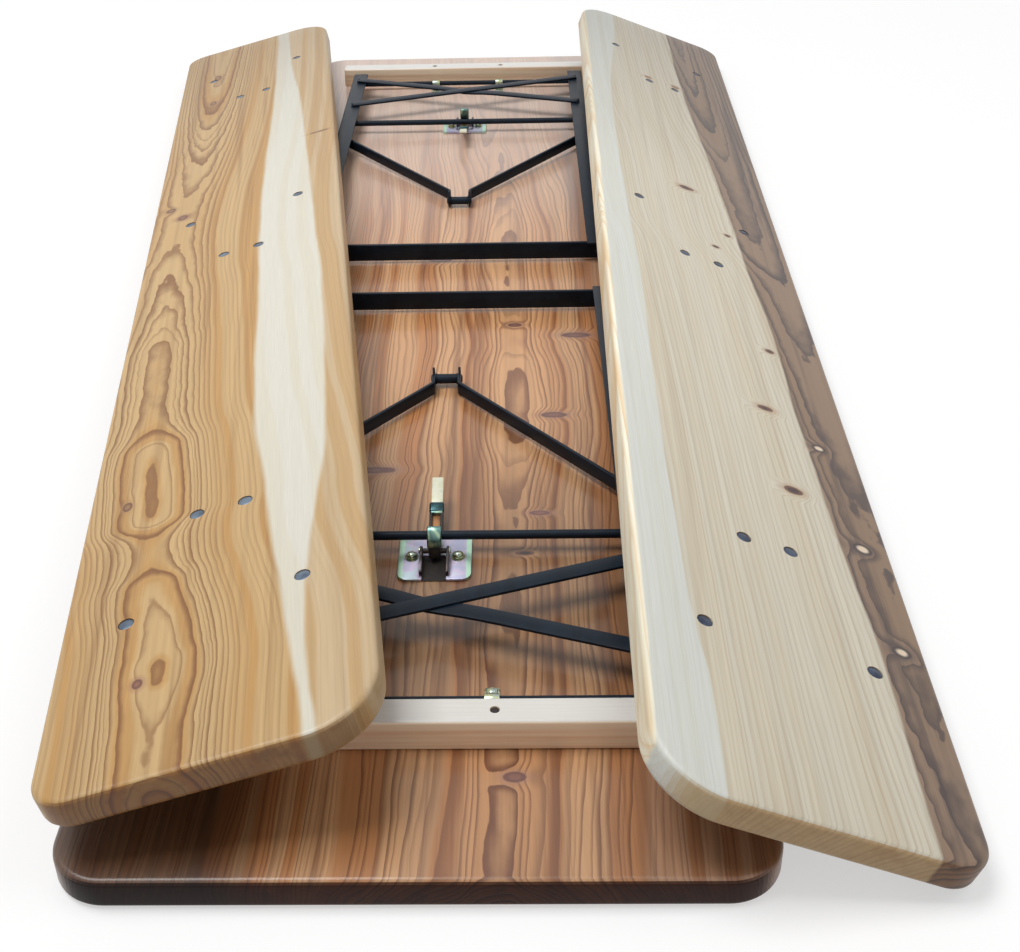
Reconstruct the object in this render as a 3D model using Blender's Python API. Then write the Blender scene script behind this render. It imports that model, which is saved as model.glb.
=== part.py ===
"""Folding beer table with two benches, packed: the table lies face down, a bench tilts on each side.

Metres, +Z up. The origin is the middle of the table's face, which lies on the floor; the table
runs along Y. Each board carries leg sets, and every leg set is modelled in one local frame:
X across the board, Y from the hinge towards the foot of the folded leg, Z out of the underside.
"""

import math

import bmesh
import bpy
from mathutils import Matrix, Vector

# Boards
TABLE_LENGTH = 2.0
TABLE_WIDTH = 0.56
TABLE_THICKNESS = 0.028
BENCH_LENGTH = 2.0
BENCH_WIDTH = 0.275
BENCH_THICKNESS = 0.028
TABLE_CORNER = 0.045
BENCH_INNER_CORNER = 0.062
BENCH_OUTER_CORNER = 0.034
EDGE_RADIUS = 0.004

# Where the benches lie on the packed table: the middle of the seat's top, from the table's edge
# across, from its middle along and above the floor, then its turns
LEFT_OUT = 0.0007
LEFT_ALONG = 0.0232
LEFT_HEIGHT = 0.0902
LEFT_YAW = math.radians(7.43)
LEFT_PITCH = math.radians(-1.55)
LEFT_ROLL = math.radians(-13.03)
RIGHT_OUT = 0.0428
RIGHT_ALONG = 0.0030
RIGHT_HEIGHT = 0.0782
RIGHT_YAW = math.radians(-1.13)
RIGHT_PITCH = math.radians(0.0)
RIGHT_ROLL = math.radians(20.86)

# Fits shared by all pieces
GAP = 0.0003
WELD = 0.001
OVERRUN = 0.002

# Bolts through the boards
SHANK_RADIUS = 0.003
HEAD_RADIUS = 0.007
HEAD_THICKNESS = 0.0016
HEAD_RECESS = 0.0004
NUT_RADIUS = 0.0055
NUT_HEIGHT = 0.0042
STUD_TIP = 0.0014

# Faces that lie closer than this to one plane are one face, and past this an edge is sharp
FLAT_ANGLE = math.radians(0.2)
SHARP_ANGLE = math.radians(45)

# Sides of round shapes
ROUND_SIDES = 8
BOLT_SIDES = 8
NUT_SIDES = 6
CORNER_STEPS = 5
CLIP_STEPS = 4
PLATE_STEPS = 3
BOARD_EDGE_SEGMENTS = 2
CLEAT_EDGE_SEGMENTS = 1

# Outline of a latch lever's hump, as shares of its height
HUMP_FRONT_SHARE = 0.85
HUMP_CHAMFER_SHARE = 0.15
HUMP_CROWN_SHARE = 0.25
HUMP_BACK_SHARE = 0.45


class TableKit:
    """Sizes of the leg sets under the table."""

    BOARD_LENGTH = TABLE_LENGTH
    BOARD_THICKNESS = TABLE_THICKNESS
    MIDDLE_AXIS_SHARE = 0
    CLEAT_INNER = 0.165
    CLEAT_WIDTH = 0.029
    CLEAT_HEIGHT = 0.031
    CLEAT_INSET = 0.055
    CLEAT_HALF = TABLE_WIDTH / 2 - CLEAT_INSET
    CLEAT_ROUND = 0.0025
    AXIS_HEIGHT = 0.0095
    PIVOT_RADIUS = 0.004
    PIVOT_HEAD = 0.0022
    PIVOT_HEAD_RADIUS = 0.006
    CLIP_ACROSS = 0.057
    CLIP_WIDTH = 0.018
    CLIP_THICKNESS = 0.002
    CLIP_TAIL = 0.024
    CLIP_BOLT = 0.015
    FRAME_INSET = 0.075
    FRAME_HALF = TABLE_WIDTH / 2 - FRAME_INSET
    FRAME_LOW = 0.0038
    FRAME_TOP = 0.0288
    FLANGE = 0.025
    IRON = 0.003
    LEG_BACK = 0.0062
    LEG_GAP = 0.1328
    ROD_PLACE = 0.2270
    ROD_HEIGHT = 0.017
    ROD_RADIUS = 0.0045
    BRACE_NEAR = 0.040
    BRACE_FAR = 0.170
    BRACE_WIDTH = 0.0175
    BRACE_THICKNESS = 0.003
    BRACE_INSIDE = False
    FOOT_INSET = 0.008
    FOOT_THICKNESS = 0.005
    FOOT_TOP = 0.0272
    STRUT_INSET = 0.016
    STRUT_ACROSS = FRAME_HALF - STRUT_INSET
    STRUT_BEND_SHARE = 0.255
    STRUT_NECK_SHARE = 0.93
    STRUT_BAR = 0.004
    STRUT_DEPTH = 0.015
    EAR_ACROSS = 0.015
    EAR_RADIUS = 0.0085
    ROLLER_RADIUS = 0.0065
    PIN_HEIGHT = 0.0095
    LANDING_HEIGHT = 0.017
    PLATE_HALF = 0.0355
    PLATE_BACK = 0.052
    PLATE_FRONT = 0.0115
    PLATE_THICKNESS = 0.003
    PLATE_ROUND = 0.010
    LATCH_BOLT_ACROSS = 0.0225
    LATCH_BOLT = 0.0171
    CHEEK_ACROSS = 0.0142
    CHEEK_THICKNESS = 0.0025
    CHEEK_BACK = 0.047
    CHEEK_FRONT = 0.0135
    CHEEK_TOP = 0.0155
    LEVER_PIVOT = 0.018
    LEVER_PIVOT_HEIGHT = 0.0115
    LEVER_PIN_RADIUS = 0.0025
    LEVER_HALF = 0.007
    LEVER_BACK = 0.0235
    LEVER_FRONT = 0.009
    LEVER_LOW = 0.0062
    LEVER_TOP = 0.036
    TONGUE_HALF = 0.0058
    TONGUE_THICKNESS = 0.003
    TONGUE_LOW = 0.0072
    TONGUE_START = 0.007
    TONGUE_BEND = 0.053
    TONGUE_BEND_HEIGHT = 0.0205
    TONGUE_END = 0.083
    TONGUE_END_HEIGHT = 0.027


class BenchKit:
    """Sizes of the leg sets under a bench."""

    BOARD_LENGTH = BENCH_LENGTH
    BOARD_THICKNESS = BENCH_THICKNESS
    MIDDLE_AXIS_SHARE = 0.06
    CLEAT_INNER = 0.1757
    CLEAT_WIDTH = 0.029
    CLEAT_HEIGHT = 0.019
    CLEAT_INSET = 0.0425
    CLEAT_HALF = BENCH_WIDTH / 2 - CLEAT_INSET
    CLEAT_ROUND = 0.0025
    AXIS_HEIGHT = 0.009
    PIVOT_RADIUS = 0.0035
    PIVOT_HEAD = 0.0018
    PIVOT_HEAD_RADIUS = 0.0055
    CLIP_WIDTH = 0.014
    CLIP_THICKNESS = 0.0015
    CLIP_TAIL = 0.0225
    CLIP_BOLT = 0.014
    FRAME_INSET = 0.0415
    FRAME_HALF = BENCH_WIDTH / 2 - FRAME_INSET
    CLIP_INSET = 0.018
    CLIP_ACROSS = FRAME_HALF - CLIP_INSET
    FRAME_LOW = 0.0015
    FRAME_TOP = 0.019
    FLANGE = 0.020
    IRON = 0.003
    LEG_BACK = 0.0055
    LEG_GAP = 0.048
    ROD_PLACE = 0.1735
    ROD_HEIGHT = 0.0115
    ROD_RADIUS = 0.004
    BRACE_NEAR = 0.035
    BRACE_FAR = 0.118
    BRACE_WIDTH = 0.015
    BRACE_THICKNESS = 0.003
    BRACE_INSIDE = True
    FOOT_INSET = 0.008
    FOOT_THICKNESS = 0.004
    FOOT_TOP = 0.018
    STRUT_INSET = 0.026
    STRUT_ACROSS = FRAME_HALF - STRUT_INSET
    STRUT_BEND_SHARE = 0.60
    STRUT_NECK_SHARE = 0.92
    STRUT_BAR = 0.0035
    STRUT_DEPTH = 0.0115
    EAR_ACROSS = 0.0145
    EAR_RADIUS = 0.0065
    ROLLER_RADIUS = 0.005
    PIN_HEIGHT = 0.0095
    LANDING_HEIGHT = 0.0115
    PLATE_HALF = 0.0345
    PLATE_BACK = 0.047
    PLATE_FRONT = 0.0105
    PLATE_THICKNESS = 0.002
    PLATE_ROUND = 0.009
    LATCH_BOLT_ACROSS = 0.0235
    LATCH_BOLT = 0.016
    CHEEK_ACROSS = 0.0140
    CHEEK_THICKNESS = 0.002
    CHEEK_BACK = 0.042
    CHEEK_FRONT = 0.014
    CHEEK_TOP = 0.010
    LEVER_PIVOT = 0.0195
    LEVER_PIVOT_HEIGHT = 0.0068
    LEVER_PIN_RADIUS = 0.002
    LEVER_HALF = 0.0075
    LEVER_BACK = 0.0255
    LEVER_FRONT = 0.0078
    LEVER_LOW = 0.0036
    LEVER_TOP = 0.0172
    TONGUE_HALF = 0.0055
    TONGUE_THICKNESS = 0.0022
    TONGUE_LOW = 0.0038
    TONGUE_START = 0.006
    TONGUE_BEND = 0.036
    TONGUE_BEND_HEIGHT = 0.0095
    TONGUE_END = 0.055
    TONGUE_END_HEIGHT = 0.0125


def axis_inset(kit):
    """Distance from a board's end to the hinge axis: the opened leg leans on the cleat."""
    return kit.CLEAT_INNER + kit.FRAME_TOP - kit.AXIS_HEIGHT + GAP


def leg_end(kit):
    """Hinge axis to leg's end: two legs that face each other share the space between them."""
    own = kit.BOARD_LENGTH / 2 - axis_inset(kit)
    facing = kit.BOARD_LENGTH * kit.MIDDLE_AXIS_SHARE if kit.MIDDLE_AXIS_SHARE else own
    return (own + facing - kit.LEG_GAP) / 2


def bore(radius, sides):
    """Radius of the many-sided hole in which a rod of this radius turns freely."""
    return (radius + GAP) / math.cos(math.pi / sides)


def strut_length(kit):
    """Rod to pin: with the leg square to the board, the pin lies where the rod lies folded."""
    rise = kit.ROD_PLACE + kit.AXIS_HEIGHT - kit.LANDING_HEIGHT
    run = kit.ROD_PLACE + kit.ROD_HEIGHT - kit.AXIS_HEIGHT
    return math.hypot(rise, run)


def material(name, colour, roughness, metallic):
    """A plain finish in the part's colour."""
    made = bpy.data.materials.new(name)
    made.use_nodes = True
    made.diffuse_color = (*colour, 1.0)
    shader = made.node_tree.nodes["Principled BSDF"]
    shader.inputs["Base Color"].default_value = (*colour, 1.0)
    shader.inputs["Roughness"].default_value = roughness
    shader.inputs["Metallic"].default_value = metallic
    return made


def mesh_from(name, build):
    """A mesh that build fills through bmesh, with its faces pointing out."""
    shape = bmesh.new()
    build(shape)
    bmesh.ops.recalc_face_normals(shape, faces=shape.faces)
    mesh = bpy.data.meshes.new(name)
    shape.to_mesh(mesh)
    shape.free()
    return mesh


def along(axis, flat, place):
    """A point from its two flat coordinates and its place along an axis."""
    if axis == "X":
        return Vector((place, flat[0], flat[1]))
    if axis == "Y":
        return Vector((flat[0], place, flat[1]))
    return Vector((flat[0], flat[1], place))


def prism(axis, outline, low, high):
    """The solid that an outline sweeps along an axis."""
    def build(shape):
        ends = [[shape.verts.new(along(axis, point, place)) for point in outline]
                for place in (low, high)]
        shape.faces.new(ends[0])
        shape.faces.new(reversed(ends[1]))
        for i in range(len(outline)):
            j = (i + 1) % len(outline)
            shape.faces.new((ends[0][i], ends[0][j], ends[1][j], ends[1][i]))
    return mesh_from("prism", build)


def block(low, high):
    """A box between two corners."""
    outline = [(low[0], low[1]), (high[0], low[1]), (high[0], high[1]), (low[0], high[1])]
    return prism("Z", outline, low[2], high[2])


def circle(centre, radius, sides):
    """Points round a circle."""
    turns = [math.tau * (i + 0.5) / sides for i in range(sides)]
    return [(centre[0] + radius * math.cos(a), centre[1] + radius * math.sin(a)) for a in turns]


def turned(axis, centre, profile, sides):
    """A solid of circles (place, radius) in a row along an axis."""
    def build(shape):
        rings = [[shape.verts.new(along(axis, point, place))
                  for point in circle(centre, radius, sides)] for place, radius in profile]
        shape.faces.new(rings[0])
        shape.faces.new(reversed(rings[-1]))
        for ring, following in zip(rings, rings[1:]):
            for i in range(sides):
                j = (i + 1) % sides
                shape.faces.new((ring[i], ring[j], following[j], following[i]))
    return mesh_from("turned", build)


def arc(centre, radius, start, end, steps):
    """Points along an arc, angles in degrees."""
    angles = [math.radians(start + (end - start) * i / steps) for i in range(steps + 1)]
    return [(centre[0] + radius * math.cos(a), centre[1] + radius * math.sin(a)) for a in angles]


def add_object(name, mesh):
    """A new object in the scene."""
    made = bpy.data.objects.new(name, mesh)
    bpy.context.scene.collection.objects.link(made)
    return made


def merged(mesh):
    """The same mesh with its flat faces whole."""
    shape = bmesh.new()
    shape.from_mesh(mesh)
    bmesh.ops.dissolve_limit(shape, angle_limit=FLAT_ANGLE, verts=shape.verts, edges=shape.edges)
    shape.to_mesh(mesh)
    shape.free()
    return mesh


def fuse(name, solids, cutters=()):
    """One mesh: the union of the solids, less the cutters."""
    body = add_object(name, solids[0])
    helpers = []
    for operation, meshes in (("UNION", solids[1:]), ("DIFFERENCE", cutters)):
        for mesh in meshes:
            helper = add_object(name + "_helper", mesh)
            helper.hide_render = True
            helper.display_type = "WIRE"
            helpers.append(helper)
            modifier = body.modifiers.new(operation.title(), "BOOLEAN")
            modifier.operation = operation
            modifier.object = helper
    graph = bpy.context.evaluated_depsgraph_get()
    fused = bpy.data.meshes.new_from_object(body.evaluated_get(graph))
    fused.name = name
    for done in [body] + helpers:
        bpy.data.objects.remove(done)
    return merged(fused)


def moved(mesh, matrix):
    """The same mesh after a move."""
    mesh.transform(matrix)
    return mesh


def softened(mesh, radius, segments):
    """A mesh with its sharp edges rounded."""
    def build(shape):
        shape.from_mesh(mesh)
        edges = [e for e in shape.edges if e.calc_face_angle(0) > SHARP_ANGLE]
        bmesh.ops.bevel(shape, geom=edges, offset=radius, segments=segments, profile=0.5,
                        affect="EDGES")
    return mesh_from(mesh.name, build)


def bolt_places(kit):
    """Where the bolts of a leg set stand, across and along from the hinge axis."""
    latch = kit.ROD_PLACE - kit.LATCH_BOLT
    return ([(side * kit.CLIP_ACROSS, kit.CLIP_BOLT) for side in (-1, 1)]
            + [(side * kit.LATCH_BOLT_ACROSS, latch) for side in (-1, 1)])


def bolt(kit, place, seat):
    """A bolt with its head sunk in the board's face and its nut on a seat height."""
    head = -kit.BOARD_THICKNESS + HEAD_RECESS
    profile = [(head, HEAD_RADIUS), (head + HEAD_THICKNESS, HEAD_RADIUS),
               (head + HEAD_THICKNESS, SHANK_RADIUS), (seat + NUT_HEIGHT + STUD_TIP, SHANK_RADIUS)]
    hexagon = circle(place, NUT_RADIUS, NUT_SIDES)
    return [turned("Z", place, profile, BOLT_SIDES),
            prism("Z", hexagon, seat - GAP, seat + NUT_HEIGHT)]


def bolt_hole(kit, place):
    """The hole that a bolt and its head take in the board."""
    face = -kit.BOARD_THICKNESS
    floor = face + HEAD_RECESS + HEAD_THICKNESS + GAP
    profile = [(face - OVERRUN, HEAD_RADIUS + GAP), (floor, HEAD_RADIUS + GAP),
               (floor, SHANK_RADIUS + GAP), (OVERRUN, SHANK_RADIUS + GAP)]
    return turned("Z", place, profile, BOLT_SIDES)


def cleat(kit):
    """The batten across the board that the opened leg leans on."""
    inner = -(kit.FRAME_TOP - kit.AXIS_HEIGHT + GAP)
    bar = block((-kit.CLEAT_HALF, inner - kit.CLEAT_WIDTH, GAP),
                (kit.CLEAT_HALF, inner, kit.CLEAT_HEIGHT))
    return softened(bar, kit.CLEAT_ROUND, CLEAT_EDGE_SEGMENTS)


def clip(kit, side):
    """A strap over the hinge rod with a tail under its bolt."""
    axis = (0, kit.AXIS_HEIGHT)
    outer = kit.PIVOT_RADIUS + kit.CLIP_THICKNESS
    tail = GAP + kit.CLIP_THICKNESS
    outline = arc(axis, outer, 0, 180, CLIP_STEPS)
    outline += [(-outer, GAP), (kit.CLIP_TAIL, GAP), (kit.CLIP_TAIL, tail), (outer, tail)]
    middle = side * kit.CLIP_ACROSS
    return prism("X", outline, middle - kit.CLIP_WIDTH / 2, middle + kit.CLIP_WIDTH / 2)


def hinge_bar(kit):
    """The hinge rod with its riveted ends, two clips and their bolts."""
    inner = kit.FRAME_HALF + GAP
    outer = inner + kit.PIVOT_HEAD
    profile = [(-outer, kit.PIVOT_HEAD_RADIUS), (-inner, kit.PIVOT_HEAD_RADIUS),
               (-inner, kit.PIVOT_RADIUS), (inner, kit.PIVOT_RADIUS),
               (inner, kit.PIVOT_HEAD_RADIUS), (outer, kit.PIVOT_HEAD_RADIUS)]
    solids = [turned("X", (0, kit.AXIS_HEIGHT), profile, ROUND_SIDES)]
    for side in (-1, 1):
        solids.append(clip(kit, side))
        solids += bolt(kit, (side * kit.CLIP_ACROSS, kit.CLIP_BOLT), GAP + kit.CLIP_THICKNESS)
    return fuse("hinge_bar", solids)


def hinge_corner(kit):
    """The lower back corner of a web, cut where it would sweep the board as the leg turns."""
    reach = kit.AXIS_HEIGHT - 2 * GAP
    depth = kit.AXIS_HEIGHT - kit.FRAME_LOW
    if math.hypot(kit.LEG_BACK, depth) < reach:
        return [(-kit.LEG_BACK, kit.FRAME_LOW)]
    return [(-kit.LEG_BACK, kit.AXIS_HEIGHT - math.sqrt(reach ** 2 - kit.LEG_BACK ** 2)),
            (-math.sqrt(reach ** 2 - depth ** 2), kit.FRAME_LOW)]


def upright(kit, side):
    """One angle iron of a leg frame: a web on the outside and a flange on top."""
    end = leg_end(kit)
    web = [*hinge_corner(kit), (end, kit.FRAME_LOW), (end, kit.FRAME_TOP),
           (0, kit.FRAME_TOP), (-kit.LEG_BACK, kit.AXIS_HEIGHT + kit.LEG_BACK)]
    flange = [(0, kit.FRAME_TOP - kit.IRON), (end, kit.FRAME_TOP - kit.IRON),
              (end, kit.FRAME_TOP), (0, kit.FRAME_TOP)]
    outside = side * kit.FRAME_HALF
    inside = side * (kit.FRAME_HALF - kit.IRON)
    lip = side * (kit.FRAME_HALF - kit.FLANGE)
    return fuse("upright", [prism("X", web, min(outside, inside), max(outside, inside)),
                            prism("X", flange, min(outside, lip), max(outside, lip))])


def brace(kit, side):
    """One flat bar of the cross between the uprights."""
    reach = kit.FRAME_HALF - (kit.IRON + GAP if kit.BRACE_INSIDE else kit.FLANGE / 2)
    start = Vector((-side * reach, kit.BRACE_NEAR))
    end = Vector((side * reach, kit.BRACE_FAR))
    half = (end - start).orthogonal().normalized() * kit.BRACE_WIDTH / 2
    outline = [start - half, end - half, end + half, start + half]
    if kit.BRACE_INSIDE:
        high = kit.FRAME_TOP - kit.IRON + WELD
        return prism("Z", outline, high - WELD - kit.BRACE_THICKNESS, high)
    return prism("Z", outline, kit.FRAME_TOP - WELD, kit.FRAME_TOP + kit.BRACE_THICKNESS)


def leg_frame(kit):
    """Two uprights, the cross, the round rod and the foot bar, welded into one frame."""
    web = kit.FRAME_HALF - kit.IRON / 2
    rod = [(-web, kit.ROD_RADIUS), (web, kit.ROD_RADIUS)]
    middle = leg_end(kit) - kit.FOOT_INSET
    foot = block((-web, middle - kit.FOOT_THICKNESS / 2, kit.FRAME_LOW),
                 (web, middle + kit.FOOT_THICKNESS / 2, kit.FOOT_TOP))
    solids = [upright(kit, -1), upright(kit, 1), brace(kit, -1), brace(kit, 1),
              turned("X", (kit.ROD_PLACE, kit.ROD_HEIGHT), rod, ROUND_SIDES), foot]
    ends = kit.FRAME_HALF + OVERRUN
    radius = bore(kit.PIVOT_RADIUS, ROUND_SIDES)
    pivot = turned("X", (0, kit.AXIS_HEIGHT), [(-ends, radius), (ends, radius)], ROUND_SIDES)
    return fuse("leg_frame", solids, [pivot])


def ribbon(path, thickness):
    """The outline of a bar of even thickness along a bent path."""
    sides = ([], [])
    for i, point in enumerate(path):
        here = Vector(point)
        before = (here - Vector(path[i - 1])).normalized() if i else None
        after = (Vector(path[i + 1]) - here).normalized() if i + 1 < len(path) else None
        heading = ((before or after) + (after or before)).normalized()
        normal = Vector((-heading.y, heading.x))
        square = Vector((-(before or after).y, (before or after).x))
        reach = thickness / 2 / normal.dot(square)
        sides[0].append(here + normal * reach)
        sides[1].append(here - normal * reach)
    return sides[0] + sides[1][::-1]


def strut(kit):
    """The V-shaped stay: an eye round the rod at each arm, ears and a roller at the tip.

    It is modelled flat, with the rod's axis at its origin, and then leant to its pin's height.
    """
    length = strut_length(kit)
    half = kit.STRUT_DEPTH / 2
    solids = []
    for side in (-1, 1):
        wide = side * kit.STRUT_ACROSS
        narrow = side * kit.EAR_ACROSS
        path = [(wide, -kit.ROD_RADIUS / 2), (wide, length * kit.STRUT_BEND_SHARE),
                (narrow, length * kit.STRUT_NECK_SHARE), (narrow, length + kit.ROLLER_RADIUS / 2)]
        solids.append(prism("Z", ribbon(path, kit.STRUT_BAR), -half, half))
        thick = kit.STRUT_BAR / 2 + GAP
        for middle, place in ((wide, 0), (narrow, length)):
            ring = [(middle - thick, kit.EAR_RADIUS), (middle + thick, kit.EAR_RADIUS)]
            solids.append(turned("X", (place, 0), ring, ROUND_SIDES))
    roller = [(-kit.EAR_ACROSS, kit.ROLLER_RADIUS), (kit.EAR_ACROSS, kit.ROLLER_RADIUS)]
    solids.append(turned("X", (length, 0), roller, ROUND_SIDES))
    ends = kit.STRUT_ACROSS + kit.STRUT_BAR
    radius = bore(kit.ROD_RADIUS, ROUND_SIDES)
    eye = turned("X", (0, 0), [(-ends, radius), (ends, radius)], ROUND_SIDES)
    lean = math.asin((kit.PIN_HEIGHT - kit.ROD_HEIGHT) / length)
    return moved(fuse("strut", solids, [eye]), Matrix.Rotation(lean, 4, "X"))


def latch_bracket(kit):
    """The bolted plate with two cheeks that carry the lever's pin."""
    low = GAP
    high = GAP + kit.PLATE_THICKNESS
    back = kit.ROD_PLACE - kit.PLATE_BACK
    front = kit.ROD_PLACE + kit.PLATE_FRONT
    inset = kit.PLATE_ROUND
    corner = (kit.PLATE_HALF - inset, back + inset)
    outline = [(-kit.PLATE_HALF, front), *arc((-corner[0], corner[1]), inset, 180, 270, PLATE_STEPS),
               *arc(corner, inset, 270, 360, PLATE_STEPS), (kit.PLATE_HALF, front)]
    solids = [prism("Z", outline, low, high)]
    cheek_back = kit.ROD_PLACE - kit.CHEEK_BACK
    cheek_front = kit.ROD_PLACE - kit.CHEEK_FRONT
    inner = kit.CHEEK_ACROSS - kit.CHEEK_THICKNESS
    profile = [(cheek_back, low), (cheek_front, low), (cheek_front, kit.CHEEK_TOP),
               (kit.ROD_PLACE - kit.LEVER_BACK, kit.CHEEK_TOP), (cheek_back, high + WELD)]
    solids.append(prism("X", profile, -kit.CHEEK_ACROSS, -inner))
    solids.append(prism("X", profile, inner, kit.CHEEK_ACROSS))
    pin = kit.CHEEK_ACROSS + WELD
    pivot = (kit.ROD_PLACE - kit.LEVER_PIVOT, kit.LEVER_PIVOT_HEIGHT)
    solids.append(turned("X", pivot, [(-pin, kit.LEVER_PIN_RADIUS), (pin, kit.LEVER_PIN_RADIUS)],
                         BOLT_SIDES))
    for side in (-1, 1):
        place = (side * kit.LATCH_BOLT_ACROSS, kit.ROD_PLACE - kit.LATCH_BOLT)
        solids += bolt(kit, place, high)
    slot = block((-inner + GAP, back - OVERRUN, -OVERRUN), (inner - GAP, cheek_front, high + GAP))
    return fuse("latch_bracket", solids, [slot])


def latch_lever(kit):
    """The sprung lever: a hump before the rod and a tongue that runs on under it."""
    rod = kit.ROD_PLACE
    back = rod - kit.LEVER_BACK
    front = rod - kit.LEVER_FRONT
    rise = kit.LEVER_TOP - kit.LEVER_LOW
    hump = [(back, kit.LEVER_LOW), (front, kit.LEVER_LOW),
            (front, kit.LEVER_LOW + rise * HUMP_FRONT_SHARE),
            (front - rise * HUMP_CHAMFER_SHARE, kit.LEVER_TOP),
            (front - rise * HUMP_CROWN_SHARE, kit.LEVER_TOP),
            (back, kit.LEVER_LOW + rise * HUMP_BACK_SHARE)]
    thick = kit.TONGUE_THICKNESS
    low = kit.TONGUE_LOW
    bottom = [(front - WELD, low), (rod + kit.TONGUE_START, low),
              (rod + kit.TONGUE_BEND, kit.TONGUE_BEND_HEIGHT),
              (rod + kit.TONGUE_END, kit.TONGUE_END_HEIGHT)]
    tongue = bottom + [(along_board, height + thick) for along_board, height in bottom[::-1]]
    solids = [prism("X", hump, -kit.LEVER_HALF, kit.LEVER_HALF),
              prism("X", tongue, -kit.TONGUE_HALF, kit.TONGUE_HALF)]
    ends = kit.LEVER_HALF + OVERRUN
    radius = bore(kit.LEVER_PIN_RADIUS, BOLT_SIDES)
    pivot = (rod - kit.LEVER_PIVOT, kit.LEVER_PIVOT_HEIGHT)
    hole = turned("X", pivot, [(-ends, radius), (ends, radius)], BOLT_SIDES)
    return fuse("latch_lever", solids, [hole])


def board(name, length, width, thickness, corners, sets):
    """A plank with round corners and edges, and the holes for the bolts of its leg sets.

    The first of the two corner radii is on the side of negative X.
    """
    outline = []
    for across, lengthwise, start in ((1, 1, 0), (-1, 1, 90), (-1, -1, 180), (1, -1, 270)):
        radius = corners[0] if across < 0 else corners[1]
        centre = (across * (width / 2 - radius), lengthwise * (length / 2 - radius))
        outline += arc(centre, radius, start, start + 90, CORNER_STEPS)
    plank = softened(prism("Z", outline, 0, thickness), EDGE_RADIUS, BOARD_EDGE_SEGMENTS)
    holes = []
    for kit, placing in sets:
        holes += [moved(bolt_hole(kit, place), placing) for place in bolt_places(kit)]
    return fuse(name, [plank], holes)


def empty(name, matrix, parent=None):
    """A guide that places what hangs under it."""
    guide = add_object(name, None)
    guide.parent = parent
    guide.matrix_local = matrix
    return guide


def place_piece(name, mesh, finish, parent, origin):
    """A piece under a guide, with its own origin on its joint's axis."""
    if not mesh.materials:
        mesh.materials.append(finish)
    piece = add_object(name, mesh)
    piece.parent = parent
    piece.location = origin
    return piece


def kit_meshes(kit):
    """The six pieces of a leg set, each moving one about its own axis."""
    rod = Vector((0, kit.ROD_PLACE, kit.ROD_HEIGHT))
    axis = Vector((0, 0, kit.AXIS_HEIGHT))
    lever = Vector((0, kit.ROD_PLACE - kit.LEVER_PIVOT, kit.LEVER_PIVOT_HEIGHT))
    still = Vector((0, 0, 0))
    return {
        "cleat": (cleat(kit), "wood", still),
        "hinge_bar": (hinge_bar(kit), "zinc", still),
        "leg_frame": (moved(leg_frame(kit), Matrix.Translation(-axis)), "steel", axis),
        "strut": (strut(kit), "steel", rod),
        "latch_bracket": (latch_bracket(kit), "zinc", still),
        "latch_lever": (moved(latch_lever(kit), Matrix.Translation(-lever)), "zinc", lever),
    }


def add_leg_set(prefix, meshes, finishes, placing, parent):
    """One leg set under a board."""
    guide = empty(prefix + "_set", placing, parent)
    for piece, (mesh, finish, origin) in meshes.items():
        place_piece(prefix + "_" + piece, mesh, finishes[finish], guide, origin)


def table_sets():
    """Where the table's leg sets stand: its underside faces up."""
    inset = TABLE_LENGTH / 2 - axis_inset(TableKit)
    near = Matrix.Translation((0, -inset, TABLE_THICKNESS))
    far = Matrix.Translation((0, inset, TABLE_THICKNESS)) @ Matrix.Rotation(math.pi, 4, "Z")
    return {"near": near, "far": far}


def bench_sets():
    """Where a bench's leg sets hang under its seat, whose top is at height zero."""
    inset = BENCH_LENGTH / 2 - axis_inset(BenchKit)
    towards_far = Matrix.Rotation(math.pi, 4, "Y")
    towards_near = Matrix.Rotation(math.pi, 4, "X")
    middle = BENCH_LENGTH * BenchKit.MIDDLE_AXIS_SHARE
    return {
        "near": Matrix.Translation((0, -inset, -BENCH_THICKNESS)) @ towards_far,
        "middle": Matrix.Translation((0, middle, -BENCH_THICKNESS)) @ towards_near,
        "far": Matrix.Translation((0, inset, -BENCH_THICKNESS)) @ towards_near,
    }


def bench_pose(place, yaw, pitch, roll):
    """The lie of a bench: rolled about its length, pitched, turned in plan and set in place."""
    turn = Matrix.Rotation(yaw, 4, "Z") @ Matrix.Rotation(pitch, 4, "X")
    return Matrix.Translation(place) @ turn @ Matrix.Rotation(roll, 4, "Y")


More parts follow.
